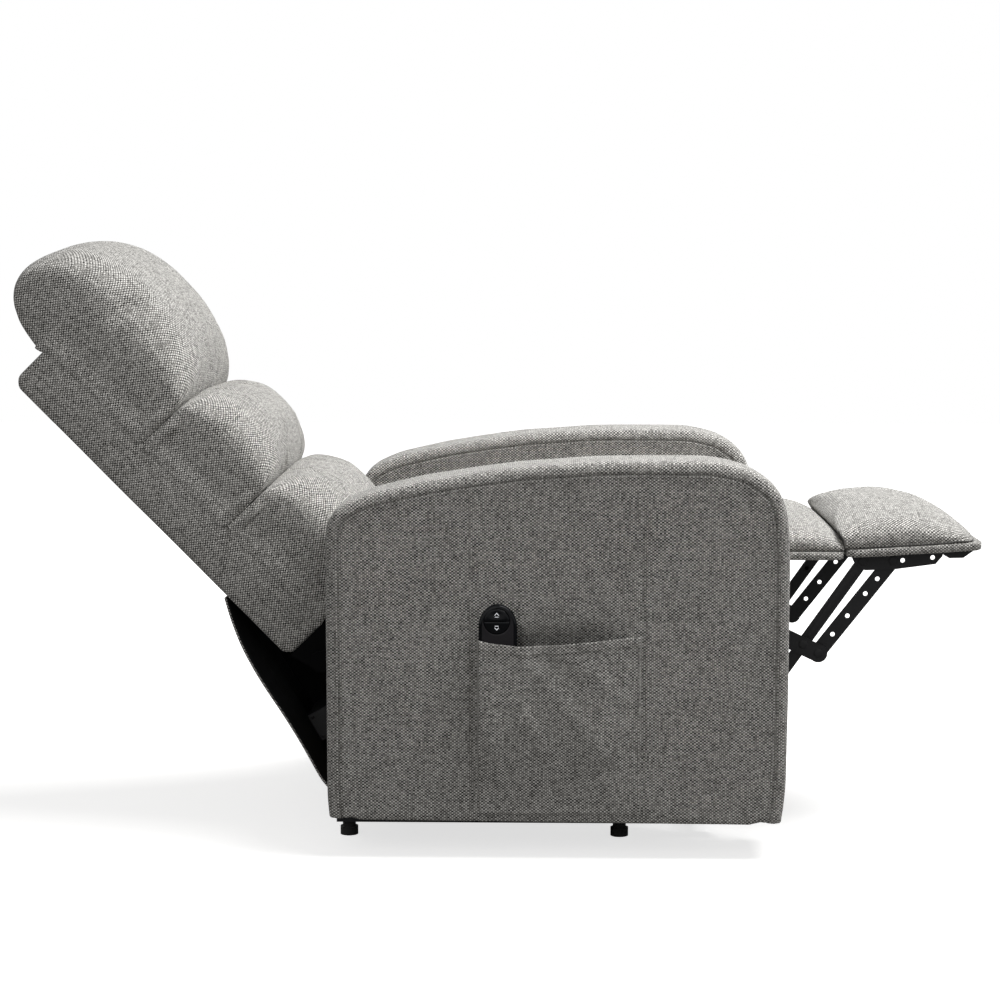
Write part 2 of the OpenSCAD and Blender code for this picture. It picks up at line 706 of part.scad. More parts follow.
module calf_pad() {
    z = calf_z + rest_board_t + soft_gap;
    base = function (x) z;
    run = valley[1][0] - calf_rear;
    pad(concat([[calf_rear, z], [calf_rear, z + 21]],
        [for (p = [[0.05, 42], [0.2, 54], [0.54, 59], [0.69, 57], [0.85, 55]])
            [calf_rear + p[0] * run, z + p[1]]],
        [valley[1] - [seam_gap, 0], valley[0] - [seam_gap, 0],
            [valley[0][0] + 5 - seam_gap, z]]), base, pad_edge);
}

base_side_rail(true);  // base_side_rail_left
base_side_rail(false);  // base_side_rail_right
base_front_tube();
base_rear_tube();
floor_glide(glide_front, true);  // floor_glide_front_left
floor_glide(glide_front, false);  // floor_glide_front_right
floor_glide(glide_rear, true);  // floor_glide_rear_left
floor_glide(glide_rear, false);  // floor_glide_rear_right
base_bracket(true);  // base_bracket_left
base_bracket(false);  // base_bracket_right
rear_lift_link(true);  // rear_lift_link_left
rear_lift_link(false);  // rear_lift_link_right
lift_torsion_tube();
front_lift_link(true);  // front_lift_link_left
front_lift_link(false);  // front_lift_link_right
actuator_housing();
actuator_motor();
actuator_rod();
mounting_plate(true);  // mounting_plate_left
mounting_plate(false);  // mounting_plate_right
seat_front_tube();
seat_rear_tube();
seat_side_rail(true);  // seat_side_rail_left
seat_side_rail(false);  // seat_side_rail_right
rear_board();
seat_springs();
seat_cushion();
arm(true);  // arm_left
arm(false);  // arm_right
pocket_panel();
rear_flap();
power_supply();
supply_bracket();
hinge_plate(true);  // hinge_plate_left
hinge_plate(false);  // hinge_plate_right
back_frame();
back_bracket(true);  // back_bracket_left
back_bracket(false);  // back_bracket_right
lumbar_pillow();
middle_pillow();
head_pillow();
footrest_drive_tube();
swing_link(true);  // swing_link_left
swing_link(false);  // swing_link_right
long_link(true);  // long_link_left
long_link(false);  // long_link_right
front_link(true);  // front_link_left
front_link(false);  // front_link_right
guide_link(true);  // guide_link_left
guide_link(false);  // guide_link_right
footrest_bracket(true);  // footrest_bracket_left
footrest_bracket(false);  // footrest_bracket_right
footrest_board();
calf_board();
footrest_pad();
calf_pad();
handset();
button(true);  // button_up
button(false);  // button_down
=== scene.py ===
import bpy
import bmesh
import math
import numpy as np
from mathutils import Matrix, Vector, geometry, noise
from mathutils.bvhtree import BVHTree


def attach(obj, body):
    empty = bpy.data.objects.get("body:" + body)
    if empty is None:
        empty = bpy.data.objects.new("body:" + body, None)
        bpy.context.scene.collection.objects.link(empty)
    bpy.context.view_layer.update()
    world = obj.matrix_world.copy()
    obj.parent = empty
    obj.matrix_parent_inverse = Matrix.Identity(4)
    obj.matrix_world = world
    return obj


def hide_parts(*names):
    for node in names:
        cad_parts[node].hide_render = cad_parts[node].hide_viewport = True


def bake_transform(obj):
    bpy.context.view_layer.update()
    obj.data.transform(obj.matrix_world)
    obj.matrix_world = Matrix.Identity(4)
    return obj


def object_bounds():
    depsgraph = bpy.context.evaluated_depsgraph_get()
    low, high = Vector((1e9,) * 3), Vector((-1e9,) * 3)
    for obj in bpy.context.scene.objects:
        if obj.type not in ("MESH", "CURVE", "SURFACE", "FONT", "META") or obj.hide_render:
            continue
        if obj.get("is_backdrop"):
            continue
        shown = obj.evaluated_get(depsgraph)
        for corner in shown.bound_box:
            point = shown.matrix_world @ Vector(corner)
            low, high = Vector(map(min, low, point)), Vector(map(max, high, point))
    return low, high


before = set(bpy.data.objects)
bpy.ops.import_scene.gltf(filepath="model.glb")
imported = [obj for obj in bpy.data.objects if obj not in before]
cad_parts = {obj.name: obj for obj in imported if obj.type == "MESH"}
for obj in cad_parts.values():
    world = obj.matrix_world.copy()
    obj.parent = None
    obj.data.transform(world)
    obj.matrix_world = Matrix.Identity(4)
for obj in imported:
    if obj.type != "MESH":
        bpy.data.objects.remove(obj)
cadLow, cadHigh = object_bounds()


# camera and room
room = {"eye": (0.087, -3.899, 0.972), "turn": 1.31, "dip": 6.28, "lens": 79.6,
        "floor": "#f3f2f0", "bounce": "#8a8988", "above": 155.0, "side": 13.5, "fill": 0.21}


def toLinear(text):
    parts = [int(text[k:k + 2], 16) / 255 for k in (1, 3, 5)]
    return tuple(c / 12.92 if c <= 0.04045 else ((c + 0.055) / 1.055) ** 2.4 for c in parts) + (1.0,)


def setNode(tree, node, settings=None, links=None):
    # settings: property name or input index/name -> value; links: input -> output socket
    for key, value in (settings or {}).items():
        if isinstance(key, str) and hasattr(node, key):
            setattr(node, key, value)
        else:
            node.inputs[key].default_value = value
    for key, socket in (links or {}).items():
        tree.links.new(socket, node.inputs[key])
    return node


def addNode(tree, kind, settings=None, links=None):
    return setNode(tree, tree.nodes.new(kind), settings, links)


def makeRoom():
    turn, dip = math.radians(room["turn"]), math.radians(room["dip"])
    look = Vector((-math.sin(turn) * math.cos(dip), math.cos(turn) * math.cos(dip), -math.sin(dip)))
    camData = bpy.data.cameras.new("viewCamera")
    camera = bpy.data.objects.new("viewCamera", camData)
    bpy.context.scene.collection.objects.link(camera)
    camera.location = room["eye"]
    camera.rotation_mode = "QUATERNION"
    camera.rotation_quaternion = look.to_track_quat("-Z", "Y")
    camData.lens, camData.sensor_width = room["lens"], 36.0
    bpy.context.scene.camera = camera

    def lamp(name, place, aim, size, power):
        data = bpy.data.lights.new(name, "AREA")
        data.shape, data.size, data.size_y, data.energy = "RECTANGLE", size[0], size[1], power
        holder = bpy.data.objects.new(name, data)
        bpy.context.scene.collection.objects.link(holder)
        holder.location = place
        holder.rotation_mode = "QUATERNION"
        holder.rotation_quaternion = (Vector(aim) - Vector(place)).to_track_quat("-Z", "Y")

    lamp("softboxAbove", (1.35, 0.15, 3.2), (0.0, 0.0, 0.5), (3.0, 2.2), room["above"])
    lamp("softboxSide", (-1.3, -3.4, 2.2), (-0.2, 0.0, 0.5), (2.4, 1.8), room["side"])

    world = bpy.data.worlds.new("studioWorld")
    bpy.context.scene.world = world
    world.use_nodes = True
    tree = world.node_tree
    tree.nodes.clear()
    path = addNode(tree, "ShaderNodeLightPath")
    clear = addNode(tree, "ShaderNodeMath", {"operation": "MAXIMUM"},
                    {0: path.outputs["Is Glossy Ray"], 1: path.outputs["Is Transmission Ray"]})
    seen = addNode(tree, "ShaderNodeMath", {"operation": "MAXIMUM"},
                   {0: path.outputs["Is Camera Ray"], 1: clear.outputs[0]})
    soft = addNode(tree, "ShaderNodeBackground", {"Color": (1, 1, 1, 1), "Strength": room["fill"]})
    plain = addNode(tree, "ShaderNodeBackground", {"Color": (1, 1, 1, 1), "Strength": 1.0})
    mixed = addNode(tree, "ShaderNodeMixShader", None,
                    {0: seen.outputs[0], 1: soft.outputs[0], 2: plain.outputs[0]})
    addNode(tree, "ShaderNodeOutputWorld", None, {0: mixed.outputs[0]})

    # pale floor that keeps the shadow near the chair and fades to the white of the backdrop
    floorMesh = bpy.data.meshes.new("studioFloor")
    floorMesh.from_pydata([(-9, -9, 0), (9, -9, 0), (9, 9, 0), (-9, 9, 0)], [], [(0, 1, 2, 3)])
    floor = bpy.data.objects.new("studioFloor", floorMesh)
    bpy.context.scene.collection.objects.link(floor)
    paint = bpy.data.materials.new("pale studio floor")
    paint.use_nodes = True
    tree = paint.node_tree
    tree.nodes.clear()
    path = addNode(tree, "ShaderNodeLightPath")
    coords = addNode(tree, "ShaderNodeTexCoord")
    grit = addNode(tree, "ShaderNodeTexNoise", {"Scale": 90.0, "Detail": 4.0},
                   {"Vector": coords.outputs["Object"]})
    bump = addNode(tree, "ShaderNodeBump", {"Strength": 0.05}, {"Height": grit.outputs[0]})
    matte = addNode(tree, "ShaderNodeBsdfDiffuse", {"Color": toLinear(room["floor"])},
                    {"Normal": bump.outputs[0]})
    dull = addNode(tree, "ShaderNodeBsdfDiffuse", {"Color": toLinear(room["bounce"])},
                   {"Normal": bump.outputs[0]})
    far = addNode(tree, "ShaderNodeVectorMath", {"operation": "LENGTH"}, {0: coords.outputs["Object"]})
    fade = addNode(tree, "ShaderNodeMapRange",
                   {"interpolation_type": "SMOOTHSTEP", "From Min": 0.9, "From Max": 3.0,
                    "To Min": 0.7, "To Max": 1.0}, {0: far.outputs["Value"]})
    glow = addNode(tree, "ShaderNodeEmission", {"Color": (1, 1, 1, 1)}, {"Strength": fade.outputs[0]})
    lifted = addNode(tree, "ShaderNodeAddShader", None, {0: matte.outputs[0], 1: glow.outputs[0]})
    mixed = addNode(tree, "ShaderNodeMixShader", None,
                    {0: path.outputs["Is Camera Ray"], 1: dull.outputs[0], 2: lifted.outputs[0]})
    addNode(tree, "ShaderNodeOutputMaterial", None, {0: mixed.outputs[0]})
    floorMesh.materials.append(paint)
    floor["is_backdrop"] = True


makeRoom()
bpy.context.scene.view_settings.view_transform = "Standard"
print("camera, lamps and floor made")


# materials, each from what the real one is; some add painted light: painted shade in the cloth's thread gaps
# and on the hinge steel, a painted glow on the pad print, a painted seam shadow in the dark cord
def startMaterial(name):
    paint = bpy.data.materials.new(name)
    paint.use_nodes = True
    tree = paint.node_tree
    tree.nodes.clear()
    shader = addNode(tree, "ShaderNodeBsdfPrincipled")
    addNode(tree, "ShaderNodeOutputMaterial", None, {0: shader.outputs[0]})
    return paint, tree, shader


def setStops(ramp, first, last, *between):
    # each stop is a place along the ramp and its colour
    marks = ramp.color_ramp.elements
    for mark, (place, colour) in zip((marks[0], marks[1]), (first, last)):
        mark.position, mark.color = place, toLinear(colour)
    for place, colour in between:
        marks.new(place).color = toLinear(colour)


weave = {"warp": 3.15, "weft": 2.42,            # mm from one thread to the next
         "dark": "#2b2a28", "mid": "#979591", "light": "#f6f4ef",
         "threads": 0.40, "yarns": 0.20, "base": 0.55, "weftDarker": 0.60,    # shares of the tone
         "cloudy": 0.05, "slubs": 0.13, "relief": 0.0009}


def weaveGroup():
    # one flat look at the cloth: two thread counts in, colour value and height out
    group = bpy.data.node_groups.new("plainWeave", "ShaderNodeTree")
    for label, way in (("Across", "INPUT"), ("Along", "INPUT"), ("Tone", "OUTPUT"), ("Height", "OUTPUT")):
        group.interface.new_socket(label, in_out=way, socket_type="NodeSocketFloat")
    ins = addNode(group, "NodeGroupInput")
    made = {"across": ins.outputs[0], "along": ins.outputs[1]}
    # each row: its name, the operation, then what goes in, by name or as a number
    rows = [
        ("cellI", "FLOOR", "across"),
        ("cellJ", "FLOOR", "along"),
        ("cells", "ADD", "cellI", "cellJ"),
        ("weftUp", "FLOORED_MODULO", "cells", 2.0),      # 0 warp on top, 1 weft on top
        ("warpUp", "SUBTRACT", 1.0, "weftUp"),
        # a thread is round across itself and humps a little along itself
        ("turnA", "MULTIPLY", "across", math.pi),
        ("sineA", "SINE", "turnA"),
        ("waveA", "ABSOLUTE", "sineA"),
        ("turnB", "MULTIPLY", "along", math.pi),
        ("sineB", "SINE", "turnB"),
        ("waveB", "ABSOLUTE", "sineB"),
        ("roundA", "POWER", "waveA", 0.7),
        ("humpA", "POWER", "waveA", 0.35),
        ("roundB", "POWER", "waveB", 0.7),
        ("humpB", "POWER", "waveB", 0.35),
        ("warpTop", "MULTIPLY", "roundA", "humpB"),
        ("weftTop", "MULTIPLY", "roundB", "humpA"),
        ("warpPart", "MULTIPLY", "warpTop", "warpUp"),
        ("weftPart", "MULTIPLY", "weftTop", "weftUp"),
        ("height", "ADD", "warpPart", "weftPart"),
        # every crossing and every length of yarn has a shade of its own
        ("cell", "RANDOM", "cellI", "cellJ"),
        ("runAlong", "MULTIPLY", "along", 0.11),
        ("lengthAlong", "FLOOR", "runAlong"),
        ("warpYarn", "RANDOM", "cellI", "lengthAlong"),
        ("runAcross", "MULTIPLY", "across", 0.09),
        ("lengthAcross", "FLOOR", "runAcross"),
        ("weftYarn", "RANDOM", "lengthAcross", "cellJ"),
        ("warpShade", "MULTIPLY", "warpYarn", "warpUp"),
        ("weftShade", "MULTIPLY", "weftYarn", "weftUp"),
        ("yarn", "ADD", "warpShade", "weftShade"),
        ("cellShare", "MULTIPLY", "cell", weave["threads"]),
        ("yarnShare", "MULTIPLY", "yarn", weave["yarns"]),
        ("shade", "ADD", "cellShare", "yarnShare"),
        ("lifted", "ADD", "shade", weave["base"]),
        ("lean", "MULTIPLY", "weftUp", weave["weftDarker"]),
        ("leaned", "SUBTRACT", "lifted", "lean"),
        # the tone is darkened where the threads sink between each other: painted shade in the gaps
        ("gapShade", "MULTIPLY", "height", 0.55),
        ("gapShaded", "ADD", "gapShade", 0.45),
        ("tone", "MULTIPLY", "leaned", "gapShaded")]
    for name, operation, *sources in rows:
        given = {k: source for k, source in enumerate(sources) if not isinstance(source, str)}
        linked = {k: made[source] for k, source in enumerate(sources) if isinstance(source, str)}
        if operation == "RANDOM":
            pair = addNode(group, "ShaderNodeCombineXYZ", {2: 0.37}, linked)
            result = addNode(group, "ShaderNodeTexWhiteNoise", {"noise_dimensions": "3D"},
                             {"Vector": pair.outputs[0]})
        else:
            result = addNode(group, "ShaderNodeMath", {"operation": operation, **given}, linked)
        made[name] = result.outputs["Value"]
    addNode(group, "NodeGroupOutput", None, {0: made["tone"], 1: made["height"]})
    return group


plainWeave = weaveGroup()


def tweedMaterial(name, tilt):
    # Polyester tweed, woven from a light and a dark heathered yarn: a soft matt cloth whose
    # threads show as fine light dots between dark gaps, the gaps darkened in the colour as painted shade;
    # the threads are drawn a little coarser than real ones, so that they show
    paint, t, shader = startMaterial(name)
    coords = addNode(t, "ShaderNodeTexCoord")
    turned, facing = coords.outputs["Object"], coords.outputs["Normal"]
    if tilt:
        turned, facing = [addNode(t, "ShaderNodeVectorRotate", {"rotation_type": "Y_AXIS", "Angle": tilt},
                                  {"Vector": source}).outputs[0] for source in (turned, facing)]
    # threads are never quite straight
    sway = addNode(t, "ShaderNodeTexNoise", {"Scale": 14.0, "Detail": 1.0}, {"Vector": turned})
    swayed = addNode(t, "ShaderNodeVectorMath", {"operation": "MULTIPLY_ADD", 1: (0.004, 0.004, 0.004)},
                     {0: sway.outputs["Color"], 2: turned})
    place = addNode(t, "ShaderNodeSeparateXYZ", None, {0: swayed.outputs[0]})
    size = addNode(t, "ShaderNodeVectorMath", {"operation": "ABSOLUTE"}, {0: facing})
    side = addNode(t, "ShaderNodeSeparateXYZ", None, {0: size.outputs[0]})

    # three flat looks, along X, Y and Z, shared out by how squarely the surface faces each
    looks = []
    for across, along, depth in ((1, 2, 0), (0, 2, 1), (0, 1, 2)):
        warps, wefts = [addNode(t, "ShaderNodeMath", {"operation": "MULTIPLY", 1: 1000 / weave[thread]},
                                {0: place.outputs[axis]})
                        for axis, thread in ((across, "warp"), (along, "weft"))]
        look = addNode(t, "ShaderNodeGroup", {"node_tree": plainWeave},
                       {0: warps.outputs[0], 1: wefts.outputs[0]})
        share = addNode(t, "ShaderNodeMath", {"operation": "POWER", 1: 7.0}, {0: side.outputs[depth]})
        looks.append((look, share))
    total = looks[0][1]
    for look, share in looks[1:]:
        total = addNode(t, "ShaderNodeMath", {"operation": "ADD"}, {0: total.outputs[0], 1: share.outputs[0]})
    sums = [None, None]          # tone and height
    for look, share in looks:
        part = addNode(t, "ShaderNodeMath", {"operation": "DIVIDE"},
                       {0: share.outputs[0], 1: total.outputs[0]})
        for k in (0, 1):
            links = {0: look.outputs[k], 1: part.outputs[0]}
            if sums[k] is not None:
                links[2] = sums[k].outputs[0]
            sums[k] = addNode(t, "ShaderNodeMath", {"operation": "MULTIPLY_ADD", 2: 0.0}, links)
    tone, height = sums
    # broad soft unevenness, and slubs a few threads wide
    for scale, detail, amount in ((9.0, 3.0, weave["cloudy"]), (130.0, 2.0, weave["slubs"])):
        drift = addNode(t, "ShaderNodeTexNoise", {"Scale": scale, "Detail": detail}, {"Vector": turned})
        swing = addNode(t, "ShaderNodeMath", {"operation": "MULTIPLY_ADD", 1: amount, 2: -0.5 * amount},
                        {0: drift.outputs[0]})
        tone = addNode(t, "ShaderNodeMath", {"operation": "ADD"}, {0: tone.outputs[0], 1: swing.outputs[0]})
    ramp = addNode(t, "ShaderNodeValToRGB", None, {0: tone.outputs[0]})
    setStops(ramp, (0.06, weave["dark"]), (0.86, weave["light"]), (0.42, weave["mid"]))
    bump = addNode(t, "ShaderNodeBump", {"Strength": 0.55, "Distance": weave["relief"]},
                   {"Height": height.outputs[0]})
    setNode(t, shader, {"Roughness": 0.92, "Specular IOR Level": 0.25, "Sheen Weight": 0.12,
                        "Sheen Roughness": 0.45}, {"Base Color": ramp.outputs[0], "Normal": bump.outputs[0]})
    return paint


def coatedSteel(name, low, high, rough, shine=0.35):
    # Powder-coated mild steel: baked black paint, satin, with a faint orange-peel skin and
    # paler rubbed spots
    paint, t, shader = startMaterial(name)
    coords = addNode(t, "ShaderNodeTexCoord")
    peel = addNode(t, "ShaderNodeTexNoise", {"Scale": 900.0, "Detail": 2.0},
                   {"Vector": coords.outputs["Object"]})
    rub = addNode(t, "ShaderNodeTexNoise", {"Scale": 34.0, "Detail": 6.0, "Roughness": 0.7},
                  {"Vector": coords.outputs["Object"]})
    ramp = addNode(t, "ShaderNodeValToRGB", None, {0: rub.outputs[0]})
    setStops(ramp, (0.35, low), (0.78, high))
    matt = addNode(t, "ShaderNodeMapRange", {"To Min": rough, "To Max": rough + 0.2}, {0: rub.outputs[0]})
    bump = addNode(t, "ShaderNodeBump", {"Strength": 0.18, "Distance": 0.0004}, {"Height": peel.outputs[0]})
    setNode(t, shader, {"Specular IOR Level": shine},
            {"Base Color": ramp.outputs[0], "Roughness": matt.outputs[0], "Normal": bump.outputs[0]})
    return paint


def brightSteel(name, tint, rough, grit):
    # Zinc-plated or ground steel: grey metal, fine turned or drawn lines
    paint, t, shader = startMaterial(name)
    coords = addNode(t, "ShaderNodeTexCoord")
    lines = addNode(t, "ShaderNodeTexNoise", {"Scale": grit, "Detail": 3.0},
                    {"Vector": coords.outputs["Object"]})
    matt = addNode(t, "ShaderNodeMapRange", {"To Min": rough - 0.08, "To Max": rough + 0.12},
                   {0: lines.outputs[0]})
    bump = addNode(t, "ShaderNodeBump", {"Strength": 0.12, "Distance": 0.0002}, {"Height": lines.outputs[0]})
    setNode(t, shader, {"Base Color": toLinear(tint), "Metallic": 1.0},
            {"Roughness": matt.outputs[0], "Normal": bump.outputs[0]})
    return paint


def pineBoard():
    # Planed softwood board: pale yellow, long darker growth lines along the grain
    paint, t, shader = startMaterial("planed pine board")
    coords = addNode(t, "ShaderNodeTexCoord")
    slim = addNode(t, "ShaderNodeMapping", {"Scale": (2.0, 2.0, 30.0)}, {"Vector": coords.outputs["Object"]})
    rings = addNode(t, "ShaderNodeTexWave",
                    {"bands_direction": "Z", "Scale": 1.3, "Distortion": 5.0, "Detail": 3.0,
                     "Detail Scale": 1.2}, {"Vector": slim.outputs[0]})
    fleck = addNode(t, "ShaderNodeTexNoise", {"Scale": 260.0, "Detail": 4.0}, {"Vector": slim.outputs[0]})
    both = addNode(t, "ShaderNodeMath", {"operation": "MULTIPLY_ADD", 1: 0.35},
                   {0: fleck.outputs[0], 2: rings.outputs[1]})
    ramp = addNode(t, "ShaderNodeValToRGB", None, {0: both.outputs[0]})
    setStops(ramp, (0.15, "#c9a878"), (1.0, "#9a7446"))
    bump = addNode(t, "ShaderNodeBump", {"Strength": 0.2, "Distance": 0.0004}, {"Height": both.outputs[0]})
    setNode(t, shader, {"Roughness": 0.62}, {"Base Color": ramp.outputs[0], "Normal": bump.outputs[0]})
    return paint


def spunLining():
    # Spun-bonded polypropylene dust cloth: dull black, pressed with a grid of tiny dots
    paint, t, shader = startMaterial("black spun-bonded lining")
    coords = addNode(t, "ShaderNodeTexCoord")
    dots = addNode(t, "ShaderNodeTexVoronoi", {"Scale": 420.0, "Randomness": 0.25},
                   {"Vector": coords.outputs["Object"]})
    fibres = addNode(t, "ShaderNodeTexNoise", {"Scale": 700.0, "Detail": 3.0},
                     {"Vector": coords.outputs["Object"]})
    ramp = addNode(t, "ShaderNodeValToRGB", None, {0: fibres.outputs[0]})
    setStops(ramp, (0.3, "#0c0c0d"), (0.8, "#1b1b1d"))
    bump = addNode(t, "ShaderNodeBump", {"Strength": 0.3, "Distance": 0.0004}, {"Height": dots.outputs[0]})
    setNode(t, shader, {"Roughness": 0.95, "Specular IOR Level": 0.2},
            {"Base Color": ramp.outputs[0], "Normal": bump.outputs[0]})
    return paint


def mouldedPlastic(name, low, high, rough, gritScale, gritDepth, gloss=0.5, glow=0.0):
    # Injection-moulded ABS: an even colour, spark-eroded grain or a polished gloss
    paint, t, shader = startMaterial(name)
    coords = addNode(t, "ShaderNodeTexCoord")
    grain = addNode(t, "ShaderNodeTexNoise", {"Scale": gritScale, "Detail": 3.0},
                    {"Vector": coords.outputs["Object"]})
    smear = addNode(t, "ShaderNodeTexNoise", {"Scale": 45.0, "Detail": 3.0},
                    {"Vector": coords.outputs["Object"]})
    ramp = addNode(t, "ShaderNodeValToRGB", None, {0: smear.outputs[0]})
    setStops(ramp, (0.3, low), (0.8, high))
    matt = addNode(t, "ShaderNodeMapRange", {"To Min": rough * 0.8, "To Max": rough * 1.35},
                   {0: smear.outputs[0]})
    bump = addNode(t, "ShaderNodeBump", {"Strength": gritDepth, "Distance": 0.0003},
                   {"Height": grain.outputs[0]})
    # glow makes the surface give off light of its own colour: painted light wherever it is used
    setNode(t, shader, {"Specular IOR Level": gloss, "Emission Color": toLinear(high),
                        "Emission Strength": glow},
            {"Base Color": ramp.outputs[0], "Roughness": matt.outputs[0], "Normal": bump.outputs[0]})
    return paint


def sewingThread(name, low, high):
    # Twisted polyester thread: a little darker and smoother than the cloth
    paint, t, shader = startMaterial(name)
    coords = addNode(t, "ShaderNodeTexCoord")
    twist = addNode(t, "ShaderNodeTexWave", {"Scale": 420.0, "Distortion": 1.0},
                    {"Vector": coords.outputs["Object"]})
    ramp = addNode(t, "ShaderNodeValToRGB", None, {0: twist.outputs[1]})
    setStops(ramp, (0.0, low), (1.0, high))
    bump = addNode(t, "ShaderNodeBump", {"Strength": 0.4, "Distance": 0.0003}, {"Height": twist.outputs[1]})
    setNode(t, shader, {"Roughness": 0.6}, {"Base Color": ramp.outputs[0], "Normal": bump.outputs[0]})
    return paint


backTilt = math.radians(44.5)
tweed = tweedMaterial("heathered polyester tweed", 0.0)
tweedBack = tweedMaterial("heathered tweed along the back", backTilt)
steel = coatedSteel("black powder-coated steel", "#121214", "#252527", 0.4)
# hinge plates and back brackets sit in deep shade under the back: their steel is painted darker still and
# given less shine, painted shade
paintedShadeSteel = coatedSteel("hinge steel darkened as painted shade", "#050506", "#0b0b0c", 0.7, 0.06)
zinc = brightSteel("blackened zinc bolt", "#5d5e60", 0.45, 600.0)
rodSteel = brightSteel("ground and chromed rod steel", "#c9cbce", 0.18, 240.0)
springSteel = brightSteel("drawn spring wire", "#8b8d90", 0.4, 500.0)
pine = pineBoard()
lining = spunLining()
blackPlastic = mouldedPlastic("grained black ABS", "#131314", "#1f1f21", 0.5, 1400.0, 0.35)
glossPlastic = mouldedPlastic("polished black ABS", "#040609", "#090c11", 0.16, 300.0, 0.02, 0.16)
darkPlastic = mouldedPlastic("satin charcoal ABS", "#1a181b", "#232124", 0.4, 1800.0, 0.1, 0.22)
rubber = mouldedPlastic("moulded black rubber", "#121212", "#1d1c1b", 0.75, 700.0, 0.4)
# the pad's white print glows a little of itself: painted light, brighter than the lamps alone make it
iconPaint = mouldedPlastic("white pad print with painted glow", "#d8dadd", "#eceef2", 0.45, 900.0, 0.05, 0.4, 0.55)
thread = sewingThread("grey sewing thread", "#55534f", "#7f7c76")
# dark cord for the seam low on the footrest pad: its dark colour stands in for the seam's shadow, painted
# shade
seamShadowThread = sewingThread("dark cord painted as seam shadow", "#2b2a28", "#3f3d3a")
print("materials made")


# shared mesh work
def newPiece(name, points, faces, paints, faceSlots=None, smooth=True):
    mesh = bpy.data.meshes.new(name)
    mesh.from_pydata([tuple(map(float, p)) for p in points], [], [tuple(map(int, f)) for f in faces])
    mesh.validate()
    for paint in paints:
        mesh.materials.append(paint)
    if faceSlots is not None and len(faceSlots) == len(mesh.polygons):
        mesh.polygons.foreach_set("material_index", np.array(faceSlots, np.int32))
    mesh.polygons.foreach_set("use_smooth", np.full(len(mesh.polygons), smooth))
    mesh.update()
    piece = bpy.data.objects.new(name, mesh)
    bpy.context.scene.collection.objects.link(piece)
    return piece


def outwards(piece, merge=0.0):
    # merge doubles, then turn every face outwards
    work = bmesh.new()
    work.from_mesh(piece.data)
    if merge:
        bmesh.ops.remove_doubles(work, verts=work.verts, dist=merge)
    bmesh.ops.recalc_face_normals(work, faces=work.faces)
    work.to_mesh(piece.data)
    work.free()
    piece.data.update()
    return piece


def getPoints(piece):
    co = np.zeros(len(piece.data.vertices) * 3, np.float32)
    piece.data.vertices.foreach_get("co", co)
    return co.reshape(-1, 3).astype(float)


def setPoints(piece, co):
    piece.data.vertices.foreach_set("co", co.astype(np.float32).ravel())
    piece.data.update()


def getNormals(piece):
    nor = np.zeros(len(piece.data.vertices) * 3, np.float32)
    piece.data.vertices.foreach_get("normal", nor)
    return nor.reshape(-1, 3).astype(float)


def resample(line, spacing, closed=False):
    line = np.array(line, float)
    if closed:
        line = np.vstack([line, line[:1]])
    step = np.linalg.norm(np.diff(line, axis=0), axis=1)
    run = np.concatenate([[0], np.cumsum(step)])
    count = max(4, int(round(run[-1] / spacing)))
    at = np.linspace(0, run[-1], count + 1)
    out = np.stack([np.interp(at, run, line[:, k]) for k in range(line.shape[1])], 1)
    return out[:-1] if closed else out


def smoothLine(line, spacing, sigma, closed=False):
    # even spacing first, then a Gaussian along the line; open ends stay where they are
    line = resample(line, spacing, closed)
    reach = int(3 * sigma / spacing) + 1
    kernel = np.exp(-0.5 * (np.arange(-reach, reach + 1) * spacing / sigma) ** 2)
    kernel /= kernel.sum()
    if closed:
        padded = np.vstack([line[-reach:], line, line[:reach]])
    else:
        head = 2 * line[0] - line[1:reach + 1][::-1]
        tail = 2 * line[-1] - line[-reach - 1:-1][::-1]
        padded = np.vstack([head, line, tail])
    return np.stack([np.convolve(padded[:, k], kernel, "valid") for k in range(line.shape[1])], 1)


def lineNormals(line, closed=False):
    # in-plane normals, to the left of travel
    if closed:
        ahead, behind = np.roll(line, -1, 0), np.roll(line, 1, 0)
    else:
        ahead, behind = np.vstack([line[1:], line[-1:]]), np.vstack([line[:1], line[:-1]])
    d = ahead - behind
    d /= np.linalg.norm(d, axis=1)[:, None] + 1e-12
    return np.stack([-d[:, 1], d[:, 0]], 1)


def noiseAt(points, scale, seed=0.0):
    return np.array([noise.noise(Vector(p) * scale + Vector((seed, seed * 0.7, -seed))) for p in points])


def distanceTo(points, line):
    # shortest distance from each 2D point to an open line, with the place along it
    line = np.array(line, float)
    a, b = line[:-1], line[1:]
    best, where = np.full(len(points), 1e9), np.zeros(len(points))
    run = np.concatenate([[0], np.cumsum(np.linalg.norm(b - a, axis=1))])
    for k in range(len(a)):
        d = b[k] - a[k]
        t = np.clip(((points - a[k]) @ d) / (d @ d + 1e-12), 0, 1)
        gap = np.linalg.norm(points - (a[k] + t[:, None] * d), axis=1)
        near = gap < best
        best[near], where[near] = gap[near], (run[k] + t * (run[k + 1] - run[k]))[near]
    return best, where


def smoothStep(x, low, high):
    t = np.clip((x - low) / (high - low), 0, 1)
    return t * t * (3 - 2 * t)


def fillFlat(border, inner):
    # triangles over a closed border with inner points, in 2D
    made = geometry.delaunay_2d_cdt([Vector(p) for p in border] + [Vector(p) for p in inner],
                                    [], [list(range(len(border)))], 1, 1e-7)
    return np.array([tuple(p) for p in made[0]]), [tuple(f) for f in made[2]]


def gridRim(n, m):
    # the outer points of m rows of n points, once round
    return list(range(n)) + [j * n + n - 1 for j in range(1, m)] \
        + [(m - 1) * n + i for i in range(n - 2, -1, -1)] + [j * n for j in range(m - 2, 0, -1)]


